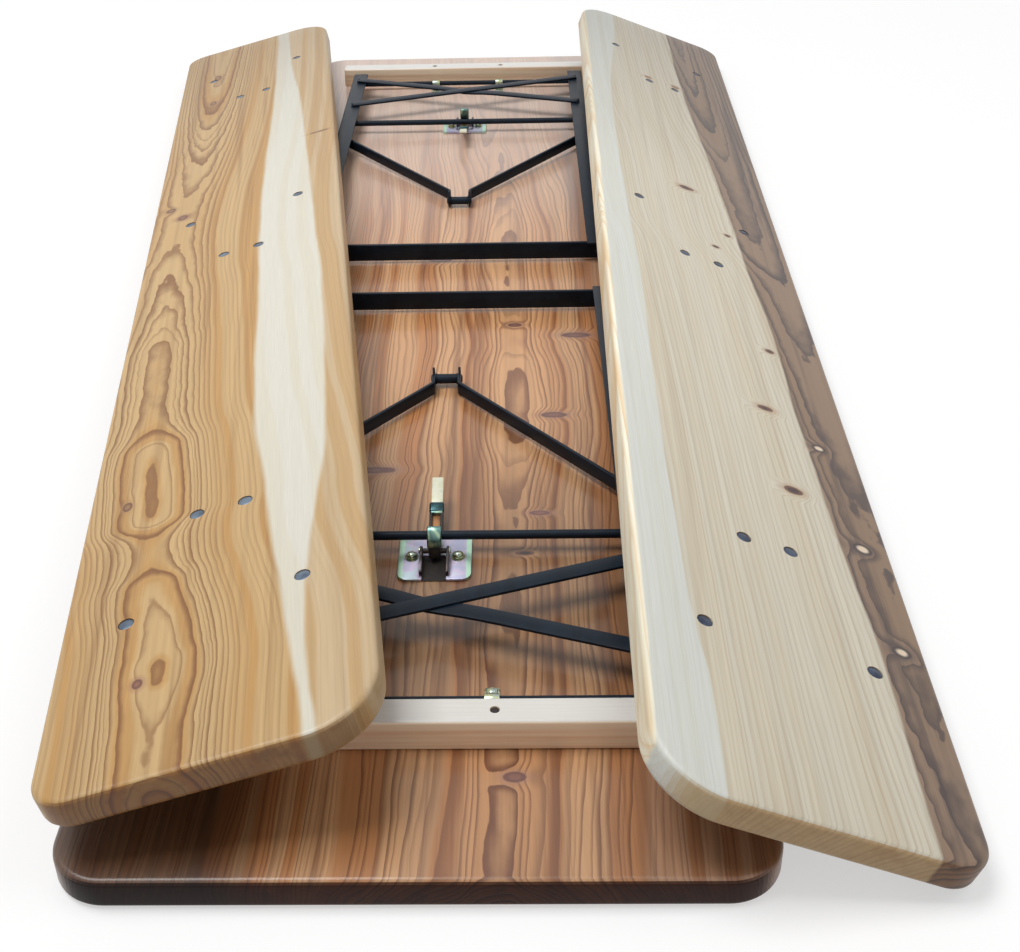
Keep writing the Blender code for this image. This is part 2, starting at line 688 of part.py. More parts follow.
def main():
    """Clears the scene and builds the set."""
    for old in list(bpy.data.objects):
        bpy.data.objects.remove(old)
    finishes = {
        "wood": material("lacquered_wood", (0.62, 0.36, 0.17), 0.25, 0.0),
        "steel": material("powder_coated_steel", (0.03, 0.04, 0.07), 0.4, 0.2),
        "zinc": material("zinc_plated_steel", (0.45, 0.5, 0.52), 0.35, 1.0),
    }
    table = empty("table", Matrix.Identity(4))
    placings = table_sets()
    top = board("table_top", TABLE_LENGTH, TABLE_WIDTH, TABLE_THICKNESS,
                (TABLE_CORNER, TABLE_CORNER), [(TableKit, m) for m in placings.values()])
    place_piece("table_top", top, finishes["wood"], table, (0, 0, 0))
    meshes = kit_meshes(TableKit)
    for name, placing in placings.items():
        add_leg_set("table_" + name, meshes, finishes, placing, table)
    placings = bench_sets()
    raised = Matrix.Translation((0, 0, BENCH_THICKNESS))
    seat_sets = [(BenchKit, raised @ m) for m in placings.values()]
    corners = {"left": (BENCH_OUTER_CORNER, BENCH_INNER_CORNER),
               "right": (BENCH_INNER_CORNER, BENCH_OUTER_CORNER)}
    meshes = kit_meshes(BenchKit)
    edge = TABLE_WIDTH / 2
    left = (-(edge + LEFT_OUT), LEFT_ALONG, LEFT_HEIGHT)
    right = (edge + RIGHT_OUT, RIGHT_ALONG, RIGHT_HEIGHT)
    lies = {"left": bench_pose(left, LEFT_YAW, LEFT_PITCH, LEFT_ROLL),
            "right": bench_pose(right, RIGHT_YAW, RIGHT_PITCH, RIGHT_ROLL)}
    for side, lie in lies.items():
        bench = empty(side + "_bench", lie)
        seat = board(side + "_seat", BENCH_LENGTH, BENCH_WIDTH, BENCH_THICKNESS, corners[side],
                     seat_sets)
        place_piece(side + "_seat", seat, finishes["wood"], bench, (0, 0, -BENCH_THICKNESS))
        for name, placing in placings.items():
            add_leg_set(side + "_" + name, meshes, finishes, placing, bench)
    bpy.context.view_layer.update()


main()
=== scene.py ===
"""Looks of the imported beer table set: the table lies face down, a bench tilts on each side.

Metres, +Z up, in the frame of the CAD model. Boards have their own wood, and every leg set
is modelled once in its own frame: X across the board, Y from the hinge towards the foot of the
folded leg, Z out of the underside.
"""

import math
from functools import partial, reduce
from types import SimpleNamespace

import bmesh
import bpy
from mathutils import Matrix, Vector


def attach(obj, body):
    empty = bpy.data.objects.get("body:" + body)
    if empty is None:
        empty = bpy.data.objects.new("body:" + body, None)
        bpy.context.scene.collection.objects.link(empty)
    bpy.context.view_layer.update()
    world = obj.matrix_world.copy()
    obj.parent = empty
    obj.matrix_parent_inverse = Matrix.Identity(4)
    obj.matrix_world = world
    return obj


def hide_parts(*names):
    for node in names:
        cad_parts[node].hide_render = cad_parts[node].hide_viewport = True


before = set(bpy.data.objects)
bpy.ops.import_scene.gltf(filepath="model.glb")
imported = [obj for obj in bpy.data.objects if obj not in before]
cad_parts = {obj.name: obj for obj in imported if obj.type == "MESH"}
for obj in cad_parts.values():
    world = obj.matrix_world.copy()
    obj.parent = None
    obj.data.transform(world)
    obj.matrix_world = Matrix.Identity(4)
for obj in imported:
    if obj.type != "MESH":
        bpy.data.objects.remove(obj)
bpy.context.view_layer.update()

# Camera
CAMERA_PLACE = (0.0793, -1.7176, 0.8639)
CAMERA_YAW = -0.0293
CAMERA_PITCH = 0.5536
CAMERA_ROLL = -0.0268
SENSOR = 36.0
PHOTO_WIDTH = 1020
PHOTO_HEIGHT = 952
FOCAL_PIXELS = 1427.47
CENTRE_PIXEL = (479.75, 429.49)

# Studio: the floor's two corners, its tone, its glow near the set and where that grows to full,
# and the place and power of each lamp
FLOOR_LOW = (-6.0, -6.0, -0.02)
FLOOR_HIGH = (6.0, 8.0, -0.0006)
FLOOR_GREY = 0.50
FLOOR_GLOW = 0.52
FLOOR_NEAR = 1.7
FLOOR_FAR = 3.6
SKY_LEVEL = 0.33
LAMPS = {"key": ((-2.0, -0.2, 6.0), 248.0), "side": ((3.6, -0.4, 5.2), 48.0)}
LAMP_SIZE = 3.2

# Boards
TABLE_LENGTH = 2.0
TABLE_WIDTH = 0.56
TABLE_THICKNESS = 0.028
BENCH_LENGTH = 2.0
BENCH_WIDTH = 0.275
BENCH_THICKNESS = 0.028
TABLE_CORNER = 0.045
BENCH_INNER_CORNER = 0.062
BENCH_OUTER_CORNER = 0.034
EDGE_RADIUS = 0.0055
BOARD_INSET = 0.0007

# Where the benches lie: place, then yaw, pitch and roll in degrees
LEFT_LIE = ((-0.2807, 0.0232, 0.0902), 7.43, -1.55, -13.03)
RIGHT_LIE = ((0.3228, 0.0030, 0.0782), -1.13, 0.0, 20.86)

# Where the middle leg set of a bench has its hinge, from the bench's middle
MIDDLE_AXIS = 0.12

# Fits and bolts
GAP = 0.0003
OVERRUN = 0.002
SHANK_RADIUS = 0.003
HEAD_RADIUS = 0.007
HEAD_THICKNESS = 0.0016
HEAD_RECESS = 0.0004
HEAD_ROUND = 0.0004
NUT_RADIUS = 0.0055
NUT_HEIGHT = 0.0036
NUT_CHAMFER = 0.0007
WASHER_RADIUS = 0.0068
WASHER_HEIGHT = 0.0008
STUD_TIP = 0.0014

# The stud's last thread over its nut: shares of its tip's height and of its shank's radius
STUD_SHARES = ((1 / 3, 1.0), (0.5, 0.86), (0.7, 0.97), (1.0, 0.75))

# Sides and steps of round shapes
ROUND_SIDES = 24
BOLT_SIDES = 20
NUT_SIDES = 6
BEAD_SIDES = 8
CORNER_STEPS = 16
EDGE_SEGMENTS = 4
CLIP_STEPS = 14
PLATE_STEPS = 8
BEND_STEPS = 5
BRACE_STEPS = 24
SMOOTH_ANGLE = math.radians(35)

# Softened edges of the metalwork
STEEL_EDGE = 0.0005
BEND_RADIUS = 0.0028
INNER_BEND = 0.0016
FOOT_EDGE = 0.0008

# An upright's rounded end at the hinge: its lowest corner, and how far it laps the iron
END_CHAMFER = 0.002
END_LAP = 0.004

# Welds: size, length of a ripple, its height, and the rod's weld inwards and outwards
WELD_RADIUS = 0.0016
WELD_STEP = 0.0022
WELD_WAVE_SHARE = 0.22
WELD_SHARES = ((0, 1), (0.5, 0.8), (1, 0.3))

# Where the notch and the band of a latch lever end on its ramp
NOTCH_SHARE = 0.61
BAND_SHARE = 0.88

# The barrel's outline, in shares of the lever's depth and of its rise over the foot, and how far
# the tongue reaches into it
BARREL_SHARES = ((0.08, 0), (1, 0), (1, 0.9), (0.85, 1), (0.6, 0.96), (0.3, 0.72), (0.14, 0.4))
TONGUE_LAP = 0.001

# Height of a stay's pointed ears over its pin, as a share of their radius
EAR_TIP_SHARE = 1.75

# Rivets of the stays, and rims and groove of their rollers, from the roller's end
RIVET_SHOULDER = 0.0008
RIVET_HEIGHT = 0.0014
ROLLER_RIM = 0.0015
ROLLER_GROOVE = 0.002

# Riveted end of the hinge rod: shares of its height and radius
DOME_SHARES = ((0, 1), (0.65, 0.88), (1, 0.55))

# Visible width of a hinge clip, as a share of the width that the leg set gives it
CLIP_NARROW_SHARE = 0.72

# Length of the cross bar's bow at the crossing, as a share of its width
BOW_SHARE = 1.6

# Cheeks of the latch, their dark lining and the riveted ends of their pin
CHEEK_LIFT = 0.001
CHEEK_CHAMFER = 0.002
LINING_INSET = 0.001
LINING_CHAMFER = 0.0025
PIN_SINK = 0.0002
PIN_SHOULDER = 0.001
PIN_HEAD = 0.0015

# Screws sunk in the battens
SCREW_RADIUS = 0.0042
SCREW_DEPTH = 0.0014
SCREW_SHIFT = 0.003

# Heights of the fine relief of the finishes, and wave and softness of a plate's border
WOOD_RELIEF = 0.00025
CLEAT_RELIEF = 0.00008
PEEL_RELIEF = 0.00005
METAL_RELIEF = 0.00003
BORDER_SWAY = 0.004
BORDER_SOFT = 0.001
LACQUER_IOR = 1.5

# Sizes of a leg set under the table, and of one under a bench
KIT_SIZES = dict(
    BOARD_THICKNESS=(TABLE_THICKNESS, BENCH_THICKNESS),
    CLEAT_INNER=(0.165, 0.1757),
    CLEAT_WIDTH=(0.029, 0.029),
    CLEAT_HEIGHT=(0.031, 0.019),
    CLEAT_HALF=(0.225, 0.095),
    CLEAT_ROUND=(0.0025, 0.0025),
    AXIS_HEIGHT=(0.0095, 0.009),
    PIVOT_RADIUS=(0.004, 0.0035),
    PIVOT_HEAD=(0.0022, 0.0018),
    PIVOT_HEAD_RADIUS=(0.006, 0.0055),
    CLIP_ACROSS=(0.057, 0.078),
    CLIP_WIDTH=(0.018, 0.014),
    CLIP_THICKNESS=(0.002, 0.0015),
    CLIP_TAIL=(0.024, 0.0225),
    CLIP_BOLT=(0.015, 0.014),
    FRAME_HALF=(0.205, 0.096),
    FRAME_LOW=(0.0038, 0.0015),
    FRAME_TOP=(0.0288, 0.019),
    FLANGE=(0.025, 0.02),
    IRON=(0.003, 0.003),
    LEG_BACK=(0.0062, 0.0055),
    LEG_END=(0.749, 0.443),
    ROD_PLACE=(0.227, 0.1735),
    ROD_HEIGHT=(0.017, 0.0115),
    ROD_RADIUS=(0.0045, 0.004),
    BRACE_NEAR=(0.04, 0.035),
    BRACE_FAR=(0.17, 0.118),
    BRACE_WIDTH=(0.0175, 0.015),
    BRACE_THICKNESS=(0.003, 0.003),
    BRACE_INSIDE=(False, True),
    FOOT_PLACE=(0.741, 0.435),
    FOOT_THICKNESS=(0.005, 0.004),
    FOOT_TOP=(0.0272, 0.018),
    STRUT_ACROSS=(0.189, 0.07),
    STRUT_BEND_SHARE=(0.255, 0.6),
    STRUT_NECK_SHARE=(0.93, 0.92),
    STRUT_BAR=(0.004, 0.0035),
    STRUT_DEPTH=(0.015, 0.0115),
    EAR_ACROSS=(0.015, 0.0145),
    EAR_RADIUS=(0.0085, 0.0065),
    ROLLER_RADIUS=(0.0065, 0.005),
    PIN_HEIGHT=(0.0095, 0.0095),
    LANDING_HEIGHT=(0.017, 0.0115),
    PLATE_HALF=(0.0355, 0.0345),
    PLATE_BACK=(0.052, 0.047),
    PLATE_FRONT=(0.0115, 0.0105),
    PLATE_THICKNESS=(0.003, 0.002),
    PLATE_ROUND=(0.01, 0.009),
    LATCH_BOLT_ACROSS=(0.0225, 0.0235),
    LATCH_BOLT=(0.0171, 0.016),
    CHEEK_ACROSS=(0.0142, 0.014),
    CHEEK_THICKNESS=(0.0025, 0.002),
    CHEEK_BACK=(0.047, 0.042),
    CHEEK_FRONT=(0.0135, 0.014),
    CHEEK_TOP=(0.0155, 0.01),
    LEVER_PIVOT=(0.018, 0.0195),
    LEVER_PIVOT_HEIGHT=(0.0115, 0.0068),
    LEVER_PIN_RADIUS=(0.0025, 0.002),
    LEVER_HALF=(0.007, 0.0075),
    LEVER_BACK=(0.0235, 0.0255),
    LEVER_FRONT=(0.009, 0.0078),
    LEVER_LOW=(0.0062, 0.0036),
    LEVER_TOP=(0.036, 0.0172),
    TONGUE_HALF=(0.0058, 0.0055),
    TONGUE_THICKNESS=(0.003, 0.0022),
    TONGUE_LOW=(0.0072, 0.0038),
    TONGUE_START=(0.007, 0.006),
    TONGUE_BEND=(0.053, 0.036),
    TONGUE_BEND_HEIGHT=(0.0205, 0.0095),
    TONGUE_END=(0.083, 0.055),
    TONGUE_END_HEIGHT=(0.027, 0.0125),
)
TABLE_KIT, BENCH_KIT = (SimpleNamespace(**dict(zip(KIT_SIZES, sizes)))
                        for sizes in zip(*KIT_SIZES.values()))


def axis_inset(kit):
    """Distance from a board's end to the hinge axis: the opened leg leans on the cleat."""
    return kit.CLEAT_INNER + kit.FRAME_TOP - kit.AXIS_HEIGHT + GAP


def strut_length(kit):
    """Rod to pin: with the leg square to the board, the pin lies where the rod lies folded."""
    rise = kit.ROD_PLACE + kit.AXIS_HEIGHT - kit.LANDING_HEIGHT
    run = kit.ROD_PLACE + kit.ROD_HEIGHT - kit.AXIS_HEIGHT
    return math.hypot(rise, run)


def mesh_from(name, build):
    """A mesh that build fills through bmesh, with its faces pointing out."""
    shape = bmesh.new()
    build(shape)
    bmesh.ops.recalc_face_normals(shape, faces=shape.faces)
    mesh = bpy.data.meshes.new(name)
    shape.to_mesh(mesh)
    shape.free()
    return mesh


def along(axis, flat, place):
    """A point from its two flat coordinates and its place along an axis."""
    point = list(flat)
    point.insert("XYZ".index(axis), place)
    return Vector(point)


def prism(axis, outline, low, high, edge=0.0, segments=2, clamp=True):
    """The solid that an outline sweeps along an axis, with its sharp edges softened."""
    def build(shape):
        ends = [[shape.verts.new(along(axis, point, place)) for point in outline]
                for place in (low, high)]
        shape.faces.new(ends[0])
        shape.faces.new(reversed(ends[1]))
        for i in range(len(outline)):
            j = (i + 1) % len(outline)
            shape.faces.new((ends[0][i], ends[0][j], ends[1][j], ends[1][i]))
        if edge:
            bmesh.ops.recalc_face_normals(shape, faces=shape.faces)
            sharp = [e for e in shape.edges if e.calc_face_angle(0) > SMOOTH_ANGLE]
            bmesh.ops.bevel(shape, geom=sharp, offset=edge, segments=segments, profile=0.5,
                            affect="EDGES", clamp_overlap=clamp)
    return mesh_from("prism", build)


def block(low, high, edge=0.0, segments=2):
    """A box between two corners."""
    outline = [(low[0], low[1]), (high[0], low[1]), (high[0], high[1]), (low[0], high[1])]
    return prism("Z", outline, low[2], high[2], edge, segments)


def circle(centre, radius, sides):
    """Points round a circle."""
    turns = [math.tau * (i + 0.5) / sides for i in range(sides)]
    return [(centre[0] + radius * math.cos(a), centre[1] + radius * math.sin(a)) for a in turns]


def turned(axis, centre, profile, sides=ROUND_SIDES, hollow=False):
    """A solid of circles (place, radius) in a row along an axis, or a closed ring of them."""
    def build(shape):
        rings = [[shape.verts.new(along(axis, point, place))
                  for point in circle(centre, radius, sides)] for place, radius in profile]
        if not hollow:
            shape.faces.new(rings[0])
            shape.faces.new(reversed(rings[-1]))
        following = rings[1:] + (rings[:1] if hollow else [])
        for ring, after in zip(rings, following):
            for i in range(sides):
                j = (i + 1) % sides
                shape.faces.new((ring[i], ring[j], after[j], after[i]))
    return mesh_from("turned", build)


def arc(centre, radius, start, end, steps):
    """Points along an arc, angles in degrees."""
    angles = [math.radians(start + (end - start) * i / steps) for i in range(steps + 1)]
    return [(centre[0] + radius * math.cos(a), centre[1] + radius * math.sin(a)) for a in angles]


def moved(mesh, matrix):
    """The same mesh after a move."""
    mesh.transform(matrix)
    return mesh


def rounded_path(path, radius):
    """A path whose inner corners are bends of a radius."""
    points = [Vector(path[0])]
    for before, here, after in zip(path, path[1:], path[2:]):
        corner = Vector(here)
        back = (Vector(before) - corner).normalized()
        ahead = (Vector(after) - corner).normalized()
        reach = radius / math.tan(back.angle(ahead) / 2)
        start = corner + back * reach
        end = corner + ahead * reach
        for i in range(BEND_STEPS + 1):
            t = i / BEND_STEPS
            points.append(start * (1 - t) ** 2 + corner * 2 * t * (1 - t) + end * t ** 2)
    return points + [Vector(path[-1])]


def ribbon(path, thickness):
    """The outline of a bar of even thickness along a bent path."""
    sides = ([], [])
    for i, point in enumerate(path):
        here = Vector(point)
        before = (here - Vector(path[i - 1])).normalized() if i else None
        after = (Vector(path[i + 1]) - here).normalized() if i + 1 < len(path) else None
        heading = ((before or after) + (after or before)).normalized()
        normal = Vector((-heading.y, heading.x))
        square = Vector((-(before or after).y, (before or after).x))
        reach = thickness / 2 / normal.dot(square)
        sides[0].append(here + normal * reach)
        sides[1].append(here - normal * reach)
    return sides[0] + sides[1][::-1]


def bead(start, end):
    """A weld bead between two points, with its ripples."""
    way = Vector(end) - Vector(start)
    count = max(2, round(way.length / WELD_STEP))
    profile = [(0.0, WELD_RADIUS * 0.4)]
    for i in range(count):
        profile += [(way.length * (i + 0.35) / count, WELD_RADIUS * (1 + WELD_WAVE_SHARE)),
                    (way.length * (i + 0.9) / count, WELD_RADIUS * (1 - WELD_WAVE_SHARE))]
    profile.append((way.length, WELD_RADIUS * 0.4))
    turn = Vector((0, 0, 1)).rotation_difference(way).to_matrix().to_4x4()
    return moved(turned("Z", (0, 0), profile, BEAD_SIDES), Matrix.Translation(start) @ turn)


def tinted(mesh, finish):
    """The same mesh with all its faces in one of its piece's finishes."""
    mesh.polygons.foreach_set("material_index", [finish] * len(mesh.polygons))
    return mesh


def smoothed(mesh, name):
    """The same mesh with its name, smooth but for its sharp edges."""
    mesh.name = name
    mesh.shade_smooth()
    mesh.set_sharp_from_angle(angle=SMOOTH_ANGLE)
    return mesh


def joined(name, parts):
    """One mesh of several."""
    shape = bmesh.new()
    for part in parts:
        shape.from_mesh(part)
    mesh = bpy.data.meshes.new(name)
    shape.to_mesh(mesh)
    shape.free()
    return smoothed(mesh, name)


def placed(name, data):
    """A new object in the scene."""
    made = bpy.data.objects.new(name, data)
    bpy.context.scene.collection.objects.link(made)
    return made


def carved(mesh, cutters):
    """A mesh less its cutters."""
    body = placed("carved", mesh)
    tool = placed("cutter", joined("cutter", cutters))
    cut = body.modifiers.new("Cut", "BOOLEAN")
    cut.operation = "DIFFERENCE"
    cut.solver = "EXACT"
    cut.object = tool
    graph = bpy.context.evaluated_depsgraph_get()
    result = bpy.data.meshes.new_from_object(body.evaluated_get(graph))
    for done in (body, tool):
        bpy.data.objects.remove(done)
    return result


def steel(axis, outline, low, high, finish=0):
    """A steel prism with softened edges, in one of its piece's finishes."""
    return tinted(prism(axis, outline, low, high, STEEL_EDGE), finish)


def mirrored(profile):
    """A profile of circles from the middle to one end, with the same towards the other end."""
    return [(-place, radius) for place, radius in reversed(profile)] + profile


def bolt_places(kit):
    """Where the bolts of a leg set stand, across and along from the hinge axis."""
    latch = kit.ROD_PLACE - kit.LATCH_BOLT
    return ([(side * kit.CLIP_ACROSS, kit.CLIP_BOLT) for side in (-1, 1)]
            + [(side * kit.LATCH_BOLT_ACROSS, latch) for side in (-1, 1)])


def fastening(place, seat, finish):
    """Washer, nut and stud of a bolt on a seat height."""
    rim = WASHER_RADIUS - NUT_CHAMFER / 2
    top = seat + WASHER_HEIGHT
    thread = top + NUT_HEIGHT
    washer = [(seat, rim), (seat, WASHER_RADIUS), (top, WASHER_RADIUS), (top, rim)]
    stud = [(thread + STUD_TIP * up, SHANK_RADIUS * out) for up, out in STUD_SHARES]
    parts = [turned("Z", place, washer),
             prism("Z", circle(place, NUT_RADIUS, NUT_SIDES), top, thread, NUT_CHAMFER, 1),
             turned("Z", place, [(0.0, SHANK_RADIUS)] + stud, BOLT_SIDES)]
    return [tinted(part, finish) for part in parts]


def cleat_piece(kit):
    """The batten across the board, with the two sunk screws that hold it."""
    inner = -(kit.FRAME_TOP - kit.AXIS_HEIGHT + GAP)
    top, rim = kit.CLEAT_HEIGHT, SCREW_RADIUS
    bar = block((-kit.CLEAT_HALF, inner - kit.CLEAT_WIDTH, GAP), (kit.CLEAT_HALF, inner, top),
                kit.CLEAT_ROUND, EDGE_SEGMENTS)
    bowl = [(top - SCREW_DEPTH, rim * 0.55), (top - SCREW_DEPTH, rim * 0.9),
            (top - SCREW_DEPTH / 3, rim), (top + OVERRUN, rim)]
    head = [(top - SCREW_DEPTH - OVERRUN / 2, rim * 0.9), (top - SCREW_DEPTH * 0.7, rim * 0.9),
            (top - SCREW_DEPTH * 0.5, rim * 0.6)]
    places = [(side * (kit.CLIP_ACROSS + SCREW_SHIFT), inner - kit.CLEAT_WIDTH / 2)
              for side in (-1, 1)]
    bar = carved(bar, [turned("Z", place, bowl) for place in places])
    # The sunk screw heads take the near black finish: painted shade in their bowls.
    return joined("cleat", [bar] + [tinted(turned("Z", place, head), 1) for place in places])


def hinge_piece(kit):
    """The hinge rod with its riveted ends, its clips and their nuts."""
    inner = kit.FRAME_HALF + GAP
    end = [(inner + kit.PIVOT_HEAD * up, kit.PIVOT_HEAD_RADIUS * out) for up, out in DOME_SHARES]
    parts = [turned("X", (0, kit.AXIS_HEIGHT), mirrored([(inner, kit.PIVOT_RADIUS)] + end))]
    shell = kit.PIVOT_RADIUS + kit.CLIP_THICKNESS
    high = GAP + kit.CLIP_THICKNESS
    outline = arc((0, kit.AXIS_HEIGHT), shell, 0, 180, CLIP_STEPS)
    outline += [(-shell, GAP), (kit.CLIP_TAIL, GAP), (kit.CLIP_TAIL, high), (shell, high)]
    half = kit.CLIP_WIDTH * CLIP_NARROW_SHARE / 2
    for side in (-1, 1):
        middle = side * kit.CLIP_ACROSS
        parts.append(steel("X", outline, middle - half, middle + half, 1))
        parts += fastening((middle, kit.CLIP_BOLT), high, 1)
    return joined("hinge", parts)


def heads_piece(kit):
    """The flush heads of a leg set's bolts in the board's face."""
    face = -kit.BOARD_THICKNESS + HEAD_RECESS
    profile = [(face, HEAD_RADIUS - HEAD_ROUND * 2),
               (face + HEAD_ROUND / 2, HEAD_RADIUS - HEAD_ROUND),
               (face + HEAD_ROUND * 1.5, HEAD_RADIUS), (face + HEAD_THICKNESS, HEAD_RADIUS)]
    return joined("heads", [turned("Z", place, profile) for place in bolt_places(kit)])


def upright_parts(kit, side):
    """One angle iron of a leg frame with its rounded back and its notched hinge end."""
    low, top, back = kit.FRAME_LOW, kit.FRAME_TOP, kit.LEG_BACK
    half, iron, lip = kit.FRAME_HALF, kit.IRON, kit.FRAME_HALF - kit.FLANGE
    corner = (half - BEND_RADIUS, top - BEND_RADIUS)
    inner = (half - iron - INNER_BEND, top - iron - INNER_BEND)
    outline = [(half, low), *arc(corner, BEND_RADIUS, 0, 90, BEND_STEPS), (lip, top),
               (lip, top - iron), *arc(inner, INNER_BEND, 90, 0, BEND_STEPS), (half - iron, low)]
    outline = [(side * x, z) for x, z in outline]
    end = [(END_LAP, low), (END_LAP, top - iron), (0.0, top - iron / 2),
           (-back, kit.AXIS_HEIGHT + back), (-back, low + END_CHAMFER), (-back + END_CHAMFER, low)]
    near, far = sorted((side * half, side * (half - iron)))
    return [steel("Y", outline, 0.0, kit.LEG_END), steel("X", end, near, far)]


def brace_part(kit, side):
    """One flat bar of the cross; the right-hand one bows under the other at the crossing."""
    reach = kit.FRAME_HALF - (kit.IRON + GAP if kit.BRACE_INSIDE else kit.FLANGE / 2)
    start = Vector((-side * reach, kit.BRACE_NEAR))
    way = Vector((side * reach, kit.BRACE_FAR)) - start
    top = kit.FRAME_TOP - kit.IRON if kit.BRACE_INSIDE else kit.FRAME_TOP + kit.BRACE_THICKNESS
    dip = kit.BRACE_THICKNESS if side < 0 else 0.0
    path = []
    for i in range(BRACE_STEPS + 1):
        place = way.length * i / BRACE_STEPS
        off = (place - way.length / 2) / (kit.BRACE_WIDTH * BOW_SHARE)
        path.append((place, top - kit.BRACE_THICKNESS / 2 - dip * math.exp(-off ** 2)))
    half = kit.BRACE_WIDTH / 2
    bar = steel("Y", ribbon(path, kit.BRACE_THICKNESS), -half, half)
    turn = Matrix.Rotation(math.atan2(way.y, way.x), 4, "Z")
    return moved(bar, Matrix.Translation((start.x, start.y, 0)) @ turn)


def frame_piece(kit):
    """Two uprights, the cross, the round rod and the foot bar with their welds."""
    web = kit.FRAME_HALF - kit.IRON / 2
    inside = kit.FRAME_HALF - kit.IRON
    tip = kit.FRAME_HALF - kit.FLANGE / 2
    rod = (kit.ROD_PLACE, kit.ROD_HEIGHT)
    foot_back = kit.FOOT_PLACE - kit.FOOT_THICKNESS / 2
    foot_front = kit.FOOT_PLACE + kit.FOOT_THICKNESS / 2
    parts = [turned("X", rod, mirrored([(web, kit.ROD_RADIUS)])),
             block((-web, foot_back, kit.FRAME_LOW), (web, foot_front, kit.FOOT_TOP), FOOT_EDGE, 3)]
    for side in (-1, 1):
        parts += upright_parts(kit, side) + [brace_part(kit, side)]
        weld = [(side * (inside - WELD_RADIUS * inward), kit.ROD_RADIUS + WELD_RADIUS * up)
                for inward, up in WELD_SHARES]
        parts.append(turned("X", rod, weld))
        x = side * (inside - WELD_RADIUS / 3)
        parts.append(bead((x, foot_back, kit.FRAME_LOW + END_CHAMFER),
                          (x, foot_back, kit.FRAME_TOP - kit.IRON)))
        if not kit.BRACE_INSIDE:
            for place in (kit.BRACE_NEAR, kit.BRACE_FAR):
                parts.append(bead((side * tip, place - kit.BRACE_WIDTH / 2, kit.FRAME_TOP),
                                  (side * tip, place + kit.BRACE_WIDTH / 2, kit.FRAME_TOP)))
    return joined("leg_frame", parts)


def strut_arm(kit, side, length):
    """One arm of the stay with its eye round the rod, its pointed ear and its rivet."""
    wide, narrow = side * kit.STRUT_ACROSS, side * kit.EAR_ACROSS
    thick, outer = kit.STRUT_BAR / 2, kit.EAR_RADIUS
    path = [(wide, kit.ROD_RADIUS * 1.2), (wide, length * kit.STRUT_BEND_SHARE),
            (narrow, length * kit.STRUT_NECK_SHARE), (narrow, length - kit.ROLLER_RADIUS / 2)]
    path = rounded_path(path, kit.STRUT_BAR * 1.5)
    parts = [steel("Z", ribbon(path, kit.STRUT_BAR), -kit.STRUT_DEPTH / 2, kit.STRUT_DEPTH / 2)]
    ring = mirrored([(thick - STEEL_EDGE, outer), (thick, outer - STEEL_EDGE),
                     (thick, kit.ROD_RADIUS + GAP)])
    ring = [(wide + place, radius) for place, radius in ring]
    parts.append(turned("X", (0, 0), ring, hollow=True))
    ear = arc((length, 0), outer, 150, 390, CLIP_STEPS)
    ear.append((length + outer * 0.15, outer * EAR_TIP_SHARE))
    parts.append(steel("X", ear, narrow - thick * 0.7, narrow + thick * 0.7))
    rivet = [(narrow + side * (thick + up), outer * out)
             for up, out in ((0.0, 0.62), (RIVET_SHOULDER, 0.55), (RIVET_HEIGHT, 0.3))]
    return parts + [turned("X", (length, 0), rivet)]


def strut_piece(kit):
    """The V-shaped stay: two arms, and the grooved roller at its tip."""
    length = strut_length(kit)
    reach = kit.EAR_ACROSS - kit.STRUT_BAR / 2
    roll = kit.ROLLER_RADIUS
    groove = roll * 0.88
    roller = mirrored([(reach - ROLLER_GROOVE, groove), (reach - ROLLER_RIM, roll), (reach, roll)])
    parts = strut_arm(kit, -1, length) + strut_arm(kit, 1, length)
    parts.append(turned("X", (length, 0), roller))
    lean = math.asin((kit.PIN_HEIGHT - kit.ROD_HEIGHT) / length)
    place = Matrix.Translation((0, kit.ROD_PLACE, kit.ROD_HEIGHT)) @ Matrix.Rotation(lean, 4, "X")
    return moved(joined("strut", parts), place)


def bracket_plate(kit, inner, back, cheek_front):
    """The latch's plate with two round corners, open between the cheeks."""
    inset = kit.PLATE_ROUND
    front = kit.ROD_PLACE + kit.PLATE_FRONT
    corner = (kit.PLATE_HALF - inset, back + inset)
    left = arc((-corner[0], corner[1]), inset, 180, 270, PLATE_STEPS)
    right = arc(corner, inset, 270, 360, PLATE_STEPS)
    outline = [(-kit.PLATE_HALF, front), *left, (-inner, back), (-inner, cheek_front),
               (inner, cheek_front), (inner, back), *right, (kit.PLATE_HALF, front)]
    return steel("Z", outline, GAP, GAP + kit.PLATE_THICKNESS)


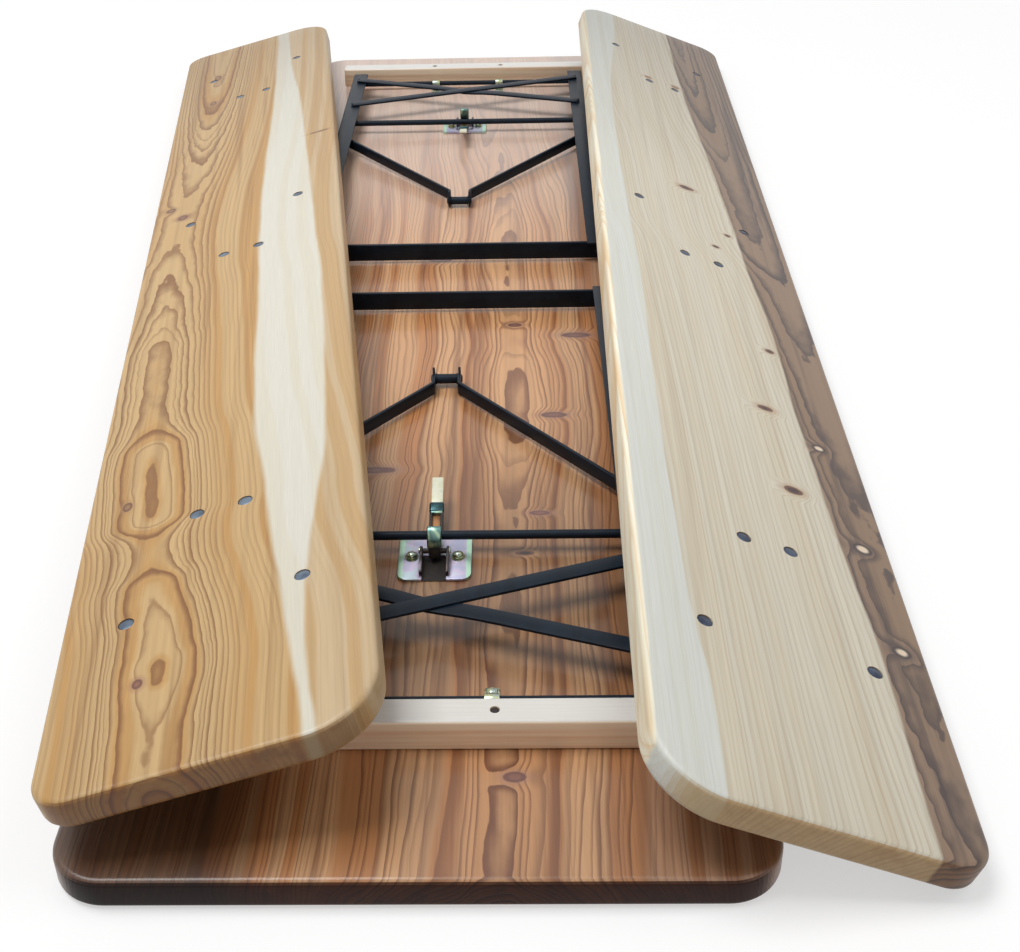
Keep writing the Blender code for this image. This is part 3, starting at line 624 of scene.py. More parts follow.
def bracket_piece(kit):
    """The bolted plate, open between its two cheeks, with the lever's pin and the nuts."""
    rod, low, top = kit.ROD_PLACE, GAP, kit.CHEEK_TOP
    back, front = rod - kit.CHEEK_BACK, rod - kit.CHEEK_FRONT
    plate_back, crest = rod - kit.PLATE_BACK, rod - kit.LEVER_BACK
    reach = kit.CHEEK_ACROSS
    inner = reach - kit.CHEEK_THICKNESS
    skin = STEEL_EDGE / 2
    cheek = [(back, low + CHEEK_LIFT), (front, low + CHEEK_LIFT), (front, top - CHEEK_CHAMFER),
             (front - CHEEK_CHAMFER, top), (crest, top), (back, low + (top - low) * 0.55)]
    lining = [(back + skin, low + skin), (front - LINING_INSET, low + skin),
              (front - LINING_INSET, top - LINING_CHAMFER), (crest, top - LINING_INSET),
              (back + skin, low + (top - low) * 0.5)]
    pivot = (rod - kit.LEVER_PIVOT, kit.LEVER_PIVOT_HEIGHT)
    pin = kit.LEVER_PIN_RADIUS
    # The floor between the cheeks, the lining inside them and the pin take the near black finish:
    # painted shade in the channel.
    floor = block((-inner - skin, plate_back + STEEL_EDGE, low), (inner + skin, front, low + skin * 2))
    parts = [bracket_plate(kit, inner, plate_back, front), tinted(floor, 1),
             tinted(turned("X", pivot, mirrored([(reach, pin)]), BOLT_SIDES), 1)]
    for side in (-1, 1):
        near, far = sorted((side * inner, side * reach))
        # The cheeks take the darkened zinc: painted shade.
        parts.append(steel("X", cheek, near, far, 3))
        near, far = sorted((side * (inner + skin), side * (inner - skin)))
        parts.append(tinted(prism("X", lining, near, far), 1))
        end = [(side * (reach + out), pin * share)
               for out, share in ((-PIN_SINK, 1.5), (PIN_SHOULDER, 1.4), (PIN_HEAD, 0.8))]
        parts.append(tinted(turned("X", pivot, end, BOLT_SIDES), 2))
        place = (side * kit.LATCH_BOLT_ACROSS, rod - kit.LATCH_BOLT)
        parts += fastening(place, low + kit.PLATE_THICKNESS, 2)
    return joined("latch_bracket", parts)


def barrel_parts(kit, back, front):
    """The lever's foot on the pin, and its rounded barrel."""
    half = kit.LEVER_HALF
    waist = kit.LEVER_PIVOT_HEIGHT + kit.LEVER_PIN_RADIUS * 2.2
    rise = kit.LEVER_TOP - waist
    depth = front - back
    step = waist + rise * 0.2
    foot = [(back, kit.LEVER_LOW), (front, kit.LEVER_LOW), (front, step), (back + depth * 0.2, step)]
    barrel = [(back + depth * y, waist + rise * z) for y, z in BARREL_SHARES]
    # The foot takes the near black finish: painted shade under the barrel.
    return [steel("X", foot, -half * 0.8, half * 0.8, 1),
            prism("X", barrel, -half, half, half * 0.6, 5)]


def lever_piece(kit):
    """The sprung lever: a foot on the pin, a rounded barrel, a notch, a band and a tongue."""
    rod, half, thick = kit.ROD_PLACE, kit.LEVER_HALF, kit.TONGUE_THICKNESS
    front = rod - kit.LEVER_FRONT
    lift = thick / 2
    run = kit.TONGUE_BEND - kit.TONGUE_START
    climb = kit.TONGUE_BEND_HEIGHT - kit.TONGUE_LOW

    def ramp(*spots):
        """Points on the ramp, each at a share of it and a height over it."""
        return [(rod + kit.TONGUE_START + run * share, kit.TONGUE_LOW + lift + climb * share + up)
                for share, up in spots]

    path = [(front - TONGUE_LAP, kit.TONGUE_LOW + lift), *ramp((0, 0), (1, 0)),
            (rod + kit.TONGUE_END, kit.TONGUE_END_HEIGHT + lift)]
    path = rounded_path(path, thick * 2)
    border = ramp((NOTCH_SHARE, 0))
    low_part = [point for point in path if point[0] < border[0][0]] + border
    high_part = border + [point for point in path if point[0] > border[0][0]]
    parts = barrel_parts(kit, rod - kit.LEVER_BACK, front)
    # The tongue's lower part carries the painted reflection of the wood, its upper part the painted
    # reflection of the pale surroundings.
    for part, finish in ((low_part, 3), (high_part, 2)):
        parts.append(steel("X", ribbon(part, thick), -kit.TONGUE_HALF, kit.TONGUE_HALF, finish))
    rail = ribbon(ramp((0, thick * 0.6), (NOTCH_SHARE, thick * 0.6)), thick * 1.8)
    # The side rails take the near black finish: painted shade beside the notch.
    for side in (-1, 1):
        near, far = sorted((side * half * 0.55, side * half))
        parts.append(steel("X", rail, near, far, 1))
    over = thick * 0.55
    band = ribbon(ramp((NOTCH_SHARE, over), (BAND_SHARE, over)), thick * 2.2)
    parts.append(tinted(prism("X", band, -half * 1.06, half * 1.06, thick * 0.8, 4), 4))
    lip = ribbon(ramp((NOTCH_SHARE - 0.05, over), (NOTCH_SHARE + 0.03, over)), thick * 2.4)
    parts.append(prism("X", lip, -half * 0.9, half * 0.9, thick * 0.5, 3))
    return joined("latch_lever", parts)


def board_mesh(name, size, corners, low, kit, placings):
    """A plank with round corners and edges, and the sunk holes for the bolts of its leg sets.

    The first of the two corner radii is on the side of negative X.
    """
    length, width, thickness = size
    outline = []
    for across, lengthwise, start in ((1, 1, 0), (-1, 1, 90), (-1, -1, 180), (1, -1, 270)):
        radius = corners[0] if across < 0 else corners[1]
        inset = radius + BOARD_INSET
        centre = (across * (width / 2 - inset), lengthwise * (length / 2 - inset))
        outline += arc(centre, radius, start, start + 90, CORNER_STEPS)
    plank = prism("Z", outline, low, low + thickness, EDGE_RADIUS, EDGE_SEGMENTS, clamp=False)
    floor = HEAD_RECESS + HEAD_THICKNESS + GAP - thickness
    profile = [(-thickness - OVERRUN, HEAD_RADIUS + GAP), (floor, HEAD_RADIUS + GAP),
               (floor, SHANK_RADIUS + GAP), (OVERRUN, SHANK_RADIUS + GAP)]
    holes = [moved(turned("Z", place, profile), placing)
             for placing in placings for place in bolt_places(kit)]
    return smoothed(carved(plank, holes), name)


def table_sets():
    """Where the table's leg sets stand: its underside faces up."""
    inset = TABLE_LENGTH / 2 - axis_inset(TABLE_KIT)
    near = Matrix.Translation((0, -inset, TABLE_THICKNESS))
    far = Matrix.Translation((0, inset, TABLE_THICKNESS)) @ Matrix.Rotation(math.pi, 4, "Z")
    return {"near": near, "far": far}


def bench_sets():
    """Where a bench's leg sets hang under its seat, whose top is at height zero."""
    inset = BENCH_LENGTH / 2 - axis_inset(BENCH_KIT)
    return {name: Matrix.Translation((0, place, -BENCH_THICKNESS)) @ Matrix.Rotation(math.pi, 4, axis)
            for name, place, axis in (("near", -inset, "Y"), ("middle", MIDDLE_AXIS, "X"),
                                      ("far", inset, "X"))}


def bench_pose(place, yaw, pitch, roll):
    """The lie of a bench: rolled about its length, pitched, turned in plan and set in place."""
    pose = Matrix.Translation(place)
    for angle, axis in ((yaw, "Z"), (pitch, "X"), (roll, "Y")):
        pose = pose @ Matrix.Rotation(math.radians(angle), 4, axis)
    return pose


class Graph:
    """Short calls that add shader nodes to a material or a world."""

    def __init__(self, data, shader="Principled BSDF"):
        data.use_nodes = True
        self.data = data
        self.tree = data.node_tree
        self.shader = self.tree.nodes[shader]

    def put(self, socket, value):
        """Links a socket, or sets a constant."""
        if isinstance(value, bpy.types.NodeSocket):
            self.tree.links.new(value, socket)
        elif socket.type == "RGBA":
            socket.default_value = (*value, 1.0)
        else:
            socket.default_value = value

    def node(self, kind, inputs, output=0, **settings):
        """An output of a new node with its settings and inputs."""
        made = self.tree.nodes.new("ShaderNode" + kind)
        for key, value in settings.items():
            setattr(made, key, value)
        for key, value in inputs.items():
            self.put(made.inputs[key], value)
        return made.outputs[output]

    def note(self, name):
        """A vector that add_piece noted on the mesh."""
        return self.node("Attribute", {}, "Vector", attribute_type="GEOMETRY", attribute_name=name)

    def apart(self, vector):
        """The three numbers of a vector."""
        return [self.node("SeparateXYZ", {0: vector}, i) for i in range(3)]

    def length(self, vector):
        """The length of a vector."""
        return self.node("VectorMath", {0: vector}, "Value", operation="LENGTH")

    def math(self, operation, *values, clamp=False):
        """One arithmetic step."""
        return self.node("Math", dict(enumerate(values)), operation=operation, use_clamp=clamp)

    def add(self, *values):
        """The sum of several values."""
        return reduce(partial(self.math, "ADD"), values)

    def times(self, *values):
        """The product of several values."""
        return reduce(partial(self.math, "MULTIPLY"), values)

    def fit(self, value, factor, shift):
        """A value times a factor, plus a shift."""
        return self.math("MULTIPLY_ADD", value, factor, shift)

    def swing(self, value, amount):
        """A noise of about 0.5, spread evenly round zero."""
        return self.fit(value, amount, -amount / 2)

    def ramp(self, value, low, high, start=0.0, end=1.0):
        """A smooth step of a value between two limits."""
        inputs = {"Value": value, "From Min": low, "From Max": high, "To Min": start, "To Max": end}
        return self.node("MapRange", inputs, "Result", interpolation_type="SMOOTHSTEP")

    def mix(self, factor, first, second, blend="MIX"):
        """A mix of two colours."""
        return self.node("Mix", {0: factor, 6: first, 7: second}, 2, data_type="RGBA",
                         blend_type=blend)

    def cloud(self, changes, detail, roughness, distortion=0.0, shift=(0, 0, 0)):
        """Noise of about 0.5 with its changes per metre across, along and down the piece."""
        vector = self.scaled(self.note("place"), changes, shift)
        return self.node("TexNoise", {"Vector": vector, "Scale": 1.0, "Detail": detail,
                                      "Roughness": roughness, "Distortion": distortion}, "Fac")

    def beat(self, value, scale):
        """Noise along one number."""
        return self.node("TexNoise", {"W": value, "Scale": scale, "Detail": 1.0}, "Fac",
                         noise_dimensions="1D")

    def chance(self, value, shift=0.0):
        """A random number for each value."""
        return self.node("TexWhiteNoise", {"W": self.add(value, shift)}, "Value",
                         noise_dimensions="1D")

    def scaled(self, vector, factors, offset=(0, 0, 0)):
        """A vector stretched by its three factors and shifted."""
        return self.node("VectorMath", {0: vector, 1: factors, 2: offset},
                         operation="MULTIPLY_ADD")

    def curve(self, value, points, low, high, handle="AUTO"):
        """A curve through (place, value) points; place from low to high."""
        values = [v for _, v in points]
        least, span = min(values), max(max(values) - min(values), 1e-6)
        share = self.math("DIVIDE", self.math("SUBTRACT", value, low), high - low, clamp=True)
        made = self.node("FloatCurve", {"Value": share})
        curve = made.node.mapping.curves[0]
        points = sorted(points)
        points = [(low, points[0][1])] + points + [(high, points[-1][1])]
        places = [((p - low) / (high - low), (v - least) / span) for p, v in points
                  if low < p < high or (p, v) in (points[0], points[-1])]
        while len(curve.points) < len(places):
            curve.points.new(0.5, 0.5)
        for point, place in zip(curve.points, places):
            point.location = place
            point.handle_type = handle
        made.node.mapping.update()
        return self.fit(made, span, least)

    def finish(self, colour, roughness, bump=None, depth=0.0, **settings):
        """The finished material, with its shader's sockets filled."""
        settings = {"Base Color": colour, "Roughness": roughness, **settings}
        if bump is not None:
            settings["Normal"] = self.node("Bump", {"Distance": depth, "Strength": 1.0,
                                                    "Height": bump}, "Normal")
        for name, value in settings.items():
            self.put(self.shader.inputs[name.replace("_", " ")], value)
        return self.data


# Half the length over which the heart lines, borders and tones of a board are given
REACH = 1.0

# Furthest radius of the rings
RING_REACH = 0.4

# Noises of the wood: changes per metre across, along and down, detail, roughness, distortion, shift
WOOD_NOISES = dict(
    wander=((9.0, 2.2, 9.0), 2.0, 0.5),
    ripple=((30.0, 7.0, 30.0), 3.0, 0.5),
    jag=((62.0, 30.0, 62.0), 2.0, 0.5),
    fibre=((900.0, 16.0, 900.0), 3.0, 0.6),
    streak=((130.0, 1.6, 130.0), 3.0, 0.55),
    smear=((52.0, 1.1, 52.0), 4.0, 0.6, 0.0, (3.0, 1.0, 0.0)),
)

# Rings: changes of their width and of the darker bands per metre, and sway of the zones' borders
UNEVEN_BEAT = 62.0
BAND_BEAT = 42.0
BAND_SHIFT = 0.7
ZONE_SWAY = 0.006

# Shares of a ring: where its late wood begins at the earliest, how much later it may begin, where
# it is full and ends, how strong it is at least, and where its dark line begins, is full and ends
LATE_SHARE = 0.12
LATER_SHARE = 0.45
FULL_SHARE = 0.92
END_SHARE = 0.93
LEAST_SHARE = 0.35
LINE_SHARES = ((0.80, 0.88), (0.97, 0.92))

# A knot's hill in the rings, and its halo, rim and centre: where each begins and is full, as
# shares of the knot's size, and its strength
HILL_SHARE = 3.4
LAYER_SHARES = ((2.2, 0.8, 0.55), (1.1, 0.85, 1.0), (0.75, 0.3, 1.0))


class Wood(Graph):
    """Lacquered pine cut from a log: rings round a wandering heart line, zones and knots."""

    def __init__(self, name, look):
        super().__init__(bpy.data.materials.new(name))
        self.look = look
        self.x, self.y, self.z = self.apart(self.note("place"))
        self.noises = {key: self.cloud(*made) for key, made in WOOD_NOISES.items()}

    def lengthwise(self, points):
        """A curve over the board's length."""
        return self.curve(self.y, points, -REACH, REACH)

    def sway(self, key):
        """One of the noises round zero, by the amount in the look."""
        return self.swing(self.noises[key], self.look[key])

    def knot_spots(self):
        """Each knot's uneven distance, size, swell of the rings, and kind."""
        spots = []
        for x, y, size, stretch, swell, kind in self.look["knots"]:
            offset = self.scaled(self.note("place"), (1.0, 1.0 / stretch, 0.0),
                                 (-x, -y / stretch, 0.0))
            distance = self.add(self.length(offset), self.swing(self.noises["ripple"], size))
            spots.append((distance, size, swell, kind))
        return spots

    def rings(self, knots):
        """The distance from the heart, swollen at the knots, and how near the heart line is."""
        look = self.look
        across = self.math("SUBTRACT", self.x, self.lengthwise(look["heart"]))
        down = self.add(self.math("SUBTRACT", self.z, look["surface"]),
                        self.lengthwise(look["depth"]))
        close = self.ramp(self.math("ABSOLUTE", across), look["looped"] * 2.4, look["looped"])
        radius = self.math("SQRT", self.add(self.times(across, across), self.times(down, down)))
        radius = self.add(radius, self.sway("wander"), self.sway("ripple"),
                          self.times(close, self.sway("jag")))
        for distance, size, swell, _ in knots:
            radius = self.math("MULTIPLY_ADD", self.ramp(distance, size * HILL_SHARE, 0.0), swell,
                               radius)
        return radius, close

    def zones(self):
        """Light and dark colours and strength of the grain, past each zone's border in turn."""
        light, dark, fade = self.look["light"], self.look["dark"], self.look["fade"]
        last = fade
        swayed = self.add(self.x, self.swing(self.noises["ripple"], ZONE_SWAY))
        for edge, soft, zone_light, zone_dark, zone_fade in self.look["zones"]:
            beyond = self.math("SUBTRACT", swayed, self.lengthwise(edge))
            inside = self.ramp(beyond, -soft, soft)
            light = self.mix(inside, light, zone_light)
            dark = self.mix(inside, dark, zone_dark)
            fade = self.fit(inside, zone_fade - last, fade)
            last = zone_fade
        return light, dark, fade

    def grain(self, radius, close, light, dark, fade):
        """The colour of the rings with their bands and lines, and how much is late wood."""
        look = self.look
        plain = look["plain"]
        uneven = self.times(self.beat(radius, UNEVEN_BEAT), look["uneven"])
        phase = self.curve(radius, look["rings"], 0.0, RING_REACH, "VECTOR")
        phase = self.fit(uneven, self.fit(close, -0.85, 1.0), phase)
        share = self.math("FRACT", phase)
        count = self.math("FLOOR", phase)
        start = self.fit(self.chance(count, 0.37), LATER_SHARE, LATE_SHARE)
        late = self.times(self.ramp(share, start, FULL_SHARE), self.ramp(share, 1.0, END_SHARE),
                          self.fit(self.chance(count), 1.0 - LEAST_SHARE, LEAST_SHARE),
                          self.fit(close, 1.0 - plain, plain), fade)
        colour = self.mix(late, light, dark)
        band = self.ramp(self.beat(self.add(radius, BAND_SHIFT), BAND_BEAT), 0.46, 0.60)
        colour = self.mix(self.times(band, fade), colour, look["band"], "MULTIPLY")
        line = self.times(*(self.ramp(share, *limits) for limits in LINE_SHARES), close,
                          look["line"], fade)
        return self.mix(line, colour, dark), late

    def toned(self, colour, dark, fade):
        """The colour with its smears and fibres, its run of tone, which is painted shade along the
        board, and its haze, a painted reflection.
        """
        look = self.look
        smear = self.times(self.ramp(self.noises["smear"], 0.50, 0.68), look["smear"], fade)
        # The tone's curve along the board is painted shade; the streaks and fibres are the wood's own.
        tone = self.add(self.lengthwise(look["tone"]), self.times(self.sway("streak"), fade),
                        self.sway("fibre"))
        colour = self.mix(1.0, self.mix(smear, colour, dark), tone, "MULTIPLY")
        # The haze mixes in a pale colour as a painted reflection, growing towards the far end.
        return self.mix(self.lengthwise(look["haze"]), colour, look["hazy"])

    def knotted(self, colour, knots):
        """The colour with its knots, each with a halo, a rim and a centre."""
        for distance, size, _, kind in knots:
            for tone, (border, full, strength) in zip(KNOTS[kind], LAYER_SHARES):
                layer = self.ramp(distance, size * border, size * full, 0.0, strength)
                colour = self.mix(layer, colour, tone)
        return colour


def wood(name, look):
    """The finish of a board."""
    graph = Wood(name, look)
    knots = graph.knot_spots()
    radius, close = graph.rings(knots)
    light, dark, fade = graph.zones()
    colour, late = graph.grain(radius, close, light, dark, fade)
    colour = graph.knotted(graph.toned(colour, dark, fade), knots)
    # The end faces take the end tint: darker end grain, and on the table painted shade as well.
    facing = graph.math("ABSOLUTE", graph.apart(graph.note("aspect"))[1])
    ends = graph.ramp(facing, 0.55, 0.9)
    colour = graph.mix(ends, colour, look["end"], "MULTIPLY")
    dull = look["end_gloss"] - 1.0
    fibre = graph.noises["fibre"]
    height = graph.math("SUBTRACT", graph.times(fibre, 0.35), graph.times(late, 0.5))
    return graph.finish(colour, graph.fit(fibre, 0.16, look["rough"] - 0.08), height, WOOD_RELIEF,
                        Specular_IOR_Level=graph.fit(ends, 0.5 * dull, 0.5),
                        Coat_Weight=graph.fit(ends, look["coat"] * dull, look["coat"]),
                        Coat_Roughness=look["coat_rough"], IOR=LACQUER_IOR)


# Halo, rim and centre of each kind of knot
KNOTS = dict(
    dark=((0.44, 0.26, 0.14), (0.14, 0.055, 0.03), (0.03, 0.013, 0.009)),
    red=((0.34, 0.15, 0.09), (0.16, 0.06, 0.035), (0.25, 0.11, 0.06)),
    gold=((0.42, 0.24, 0.1), (0.16, 0.07, 0.03), (0.3, 0.15, 0.06)),
    pale=((0.075, 0.04, 0.032), (0.035, 0.017, 0.014), (0.8, 0.64, 0.48)),
    rose=((0.36, 0.19, 0.13), (0.155, 0.066, 0.05), (0.215, 0.095, 0.068)),
)

# The looks of the boards. Points of lines are (along, value).
# surface, heart, depth: height of the sawn face, and where the heart line runs beside and below it
# rings, uneven: number of rings within a radius, and their uneven width
# wander, ripple, jag, streak, fibre, smear: amounts of these noises in the rings and the tone
# looped, plain, line: half width of the loops over the heart line, strength of late wood beside
# them, and of the dark lines in them
# light, dark, fade, band: colours of early and late wood, strength of the grain, tint of its bands
# zones: border, its softness, and light, dark and fade beyond it
# knots: across, along, size, length over width, swell of the rings, kind
# tone: brightness along the board, which is painted shade; then the share and colour of the haze, a
# painted reflection of the pale surroundings
# end, end_gloss: tint and gloss of the end faces; the table's dark end tint is end grain and painted
# shade together
BENCH_LOOK = dict(
    # The haze here is a faint painted reflection towards the far end.
    surface=0.0, haze=[(-1.0, 0.0), (1.0, 0.02)], hazy=(0.6, 0.46, 0.32),
    end_gloss=1.0, rough=0.45, coat=0.06, coat_rough=0.2,
)

LEFT_LOOK = dict(
    **BENCH_LOOK, uneven=3.0, wander=0.006, ripple=0.0016,
    looped=0.034, jag=0.0042, plain=0.34, line=0.32, smear=0.42,
    rings=[(0.0, 0), (0.01, 0.6), (0.0156, 1), (0.0257, 2), (0.037, 3), (0.042, 4),
           (0.0455, 5), (0.049, 6), (0.054, 7), (0.4, 56)],
    heart=[(-1.0, -0.042), (-0.9, -0.0426), (-0.85, -0.0447), (-0.75, -0.0607),
           (-0.65, -0.0694), (-0.6, -0.073), (-0.51, -0.0806), (-0.43, -0.0857),
           (-0.25, -0.0915), (-0.145, -0.0926), (-0.05, -0.098), (0.1, -0.096),
           (0.43, -0.077), (1.0, -0.065)],
    depth=[(-1.0, 0.024), (-0.95, 0.022), (-0.902, 0.0156), (-0.878, 0.01),
           (-0.8525, 0.0156), (-0.7485, 0.0257), (-0.7, 0.037), (-0.6512, 0.0156),
           (-0.61, 0.009), (-0.512, 0.0156), (-0.433, 0.0372), (-0.34, 0.0376), (-0.28, 0.0382),
           (-0.2475, 0.042), (-0.2021, 0.0455), (-0.1449, 0.049), (-0.0468, 0.054),
           (0.1, 0.06), (0.3, 0.055), (0.444, 0.046), (0.6, 0.034), (0.8, 0.02), (1.0, 0.012)],
    light=(0.64, 0.42, 0.185), dark=(0.245, 0.098, 0.016), fade=1.0,
    band=(0.88, 0.74, 0.52),
    zones=[
        ([(0.935, 0.042), (0.59, 0.038), (0.13, 0.025), (-0.206, 0.026), (-0.458, 0.027),
          (-0.605, 0.039), (-0.731, 0.05), (-0.824, 0.06), (-0.918, 0.069), (-0.989, 0.075)],
         0.0035, (0.8, 0.77, 0.67), (0.68, 0.58, 0.4), 0.2),
        ([(0.93, 0.065), (0.548, 0.083), (0.074, 0.098), (-0.258, 0.106), (-0.502, 0.105),
          (-0.686, 0.092), (-0.777, 0.083), (-0.859, 0.08), (-0.947, 0.083), (-0.999, 0.087)],
         0.003, (0.66, 0.49, 0.29), (0.46, 0.28, 0.12), 0.8),
    ],
    knots=[
        (-0.071, 0.814, 0.007, 2.2, 0.002, "gold"), (-0.072, 0.663, 0.006, 2.0, 0.002, "gold"),
        (-0.112, 0.184, 0.008, 1.1, 0.004, "gold"), (-0.092, 0.142, 0.007, 1.2, 0.004, "red"),
        (-0.096, -0.609, 0.005, 1.6, 0.003, "gold"), (-0.06, -0.886, 0.005, 1.3, 0.003, "red"),
        (0.112, 0.349, 0.014, 0.22, 0.002, "gold"),
    ],
    # Painted shade: the tone darkens the seat towards its far end.
    tone=[(-1.0, 0.89), (0.0, 0.97), (1.0, 0.68)],
    streak=0.4, fibre=0.24, end=(0.46, 0.33, 0.2),
)

RIGHT_LOOK = dict(
    **BENCH_LOOK, uneven=1.9, wander=0.01, ripple=0.003,
    looped=0.03, jag=0.005, plain=1.0, line=0.45, smear=0.62,
    rings=[(0.0, 0), (0.08, 9), (0.4, 79)],
    heart=[(-1.0, 0.13), (-0.5, 0.125), (-0.26, 0.119), (-0.045, 0.112), (0.05, 0.095),
           (0.347, 0.087), (0.447, 0.076), (0.573, 0.067), (1.0, 0.055)],
    depth=[(-1.0, 0.087), (-0.259, 0.069), (-0.045, 0.061), (0.049, 0.053), (0.347, 0.045),
           (0.447, 0.037), (0.573, 0.029), (1.0, 0.012)],
    # The first light and dark colours, on the seat's inner side face up to the first zone's border,
    # are its edge grain painted brighter than its top: painted light.
    light=(0.99, 0.94, 0.76), dark=(0.82, 0.57, 0.3), fade=0.9,
    band=(0.96, 0.92, 0.84),
    zones=[
        ([(-1.0, -0.132), (1.0, -0.132)], 0.0012, (0.73, 0.745, 0.69), (0.62, 0.59, 0.47), 0.3),
        ([(0.97, -0.075), (0.431, -0.101), (0.096, -0.098), (-0.202, -0.093), (-0.524, -0.094),
          (-0.722, -0.091), (-0.826, -0.087), (-0.915, -0.08), (-0.998, -0.081)],
         0.0012, (0.7, 0.645, 0.525), (0.46, 0.34, 0.2), 0.52),
        ([(1.0, 0.034), (0.665, 0.037), (0.422, 0.049), (0.167, 0.06), (-0.049, 0.066),
          (-0.196, 0.075), (-0.428, 0.076), (-0.527, 0.079), (-0.673, 0.083), (-0.762, 0.089),
          (-1.0, 0.089)], 0.002, (0.27, 0.175, 0.112), (0.04, 0.02, 0.019), 1.0),
    ],
    knots=[
        (0.045, -0.545, 0.01, 0.6, 0.02, "dark"), (0.037, -0.391, 0.01, 0.6, 0.02, "dark"),
        (0.064, -0.246, 0.006, 0.8, 0.014, "dark"), (0.001, 0.201, 0.012, 0.6, 0.014, "dark"),
        (0.049, 0.072, 0.005, 0.8, 0.01, "dark"), (0.026, 0.019, 0.005, 0.8, 0.011, "dark"),
        (-0.025, 0.674, 0.006, 0.8, 0.008, "gold"), (0.025, 0.673, 0.007, 0.8, 0.01, "gold"),
        (0.091, -0.442, 0.008, 0.8, 0.006, "pale"), (0.106, -0.613, 0.01, 0.8, 0.006, "pale"),
        (0.113, -0.76, 0.01, 0.8, 0.006, "pale"),
    ],
    # Painted shade: the tone darkens the seat towards its far end.
    tone=[(-1.0, 0.91), (0.0, 1.0), (0.45, 0.88), (1.0, 0.64)],
    streak=0.5, fibre=0.22, end=(0.8, 0.58, 0.36),
)

TABLE_LOOK = dict(
    surface=TABLE_THICKNESS, uneven=3.0, wander=0.046,
    ripple=0.0075, looped=0.012, jag=0.002, plain=0.8, line=0.0,
    smear=0.6,
    rings=[(0.0, 0), (0.03, 1), (0.04, 2), (0.048, 3), (0.054, 4), (0.4, 72)],
    heart=[(-1.0, 0.06), (-0.6, 0.07), (-0.34, 0.08), (-0.2, 0.08), (0.2, 0.07),
           (0.6, 0.04), (1.0, 0.02)],
    depth=[(-1.0, 0.066), (-0.6, 0.062), (-0.45, 0.056), (-0.36, 0.046), (-0.27, 0.044),
           (-0.16, 0.054), (0.1, 0.056), (0.5, 0.06), (1.0, 0.064)],
    # The first light and dark colours are painted shade: a dark brown that fills the table's near left
    # corner, under the left bench, up to the first zone's border; past it the board's own colours
    # begin.
    light=(0.17, 0.08, 0.038), dark=(0.045, 0.017, 0.009), fade=1.0,
    band=(0.78, 0.62, 0.48),
    zones=[
        ([(-1.0, -0.13), (-0.86, -0.14), (-0.68, -0.31), (-0.5, -0.33), (1.0, -0.33)], 0.035,
         (0.72, 0.395, 0.19), (0.2, 0.066, 0.025), 1.0),
        ([(-1.0, 0.17), (-0.3, 0.18), (0.4, 0.16), (1.0, 0.15)], 0.01,
         (0.5, 0.27, 0.15), (0.2, 0.085, 0.045), 1.0),
    ],
    knots=[
        (0.08, -0.116, 0.009, 0.6, 0.006, "rose"), (0.124, -0.336, 0.014, 0.42, 0.007, "rose"),
        (0.103, -0.528, 0.01, 0.42, 0.004, "rose"), (0.087, -0.596, 0.009, 0.42, 0.004, "dark"),
        (-0.075, -0.446, 0.022, 0.32, 0.01, "rose"), (0.076, -0.894, 0.01, 0.6, 0.005, "rose"),
        (0.155, -0.145, 0.018, 0.38, 0.008, "rose"), (-0.02, 0.08, 0.016, 0.4, 0.008, "rose"),
    ],
    # Painted shade: the tone darkens the table towards its near end, deepest under the near leg set's
    # cross bars.
    tone=[(-1.0, 0.72), (-0.86, 0.76), (-0.72, 0.45), (-0.5, 0.64), (-0.2, 0.94), (1.0, 0.9)],
    # The haze is a painted reflection of the pale surroundings on the far half of the table.
    haze=[(-1.0, 0.0), (0.0, 0.03), (0.4, 0.4), (0.8, 0.66), (1.0, 0.66)],
    # The end tint here is dark end grain and painted shade together.
    hazy=(0.72, 0.6, 0.54), streak=0.48, fibre=0.26, end=(0.1, 0.045, 0.025),
    end_gloss=0.25, rough=0.4, coat=0.3, coat_rough=0.14,
)


def cleat_wood(name, top, face, dark):
    """Planed batten, pale on top and tan on its flanks as painted light, with its grain across the
    board.
    """
    graph = Graph(bpy.data.materials.new(name))
    fibre = graph.cloud((14.0, 900.0, 900.0), 3.0, 0.6)
    streak = graph.cloud((2.0, 160.0, 160.0), 3.0, 0.55)
    # Painted light: faces turned up take the top colour, the flanks another.
    painted_light_top = graph.ramp(graph.apart(graph.note("aspect"))[2], 0.5, 0.9)
    colour = graph.mix(graph.ramp(streak, 0.40, 0.68), face, dark)
    colour = graph.mix(painted_light_top, colour, top)
    colour = graph.mix(1.0, colour, graph.fit(fibre, 0.20, 0.90), "MULTIPLY")
    return graph.finish(colour, graph.fit(fibre, 0.16, 0.30), fibre, CLEAT_RELIEF,
                        Coat_Weight=0.4, Coat_Roughness=0.12, IOR=LACQUER_IOR)


def coated_steel(name):
    """Blue-black powder coat with its fine orange peel and a little rub."""
    graph = Graph(bpy.data.materials.new(name))
    peel = graph.cloud((1400.0, 1400.0, 1400.0), 2.0, 0.6)
    rub = graph.cloud((60.0, 18.0, 60.0), 4.0, 0.6)
    colour = graph.mix(graph.ramp(rub, 0.35, 0.72), (0.004, 0.009, 0.017), (0.008, 0.016, 0.028))
    return graph.finish(colour, graph.fit(rub, 0.18, 0.32), peel, PEEL_RELIEF,
                        Specular_IOR_Level=0.16)


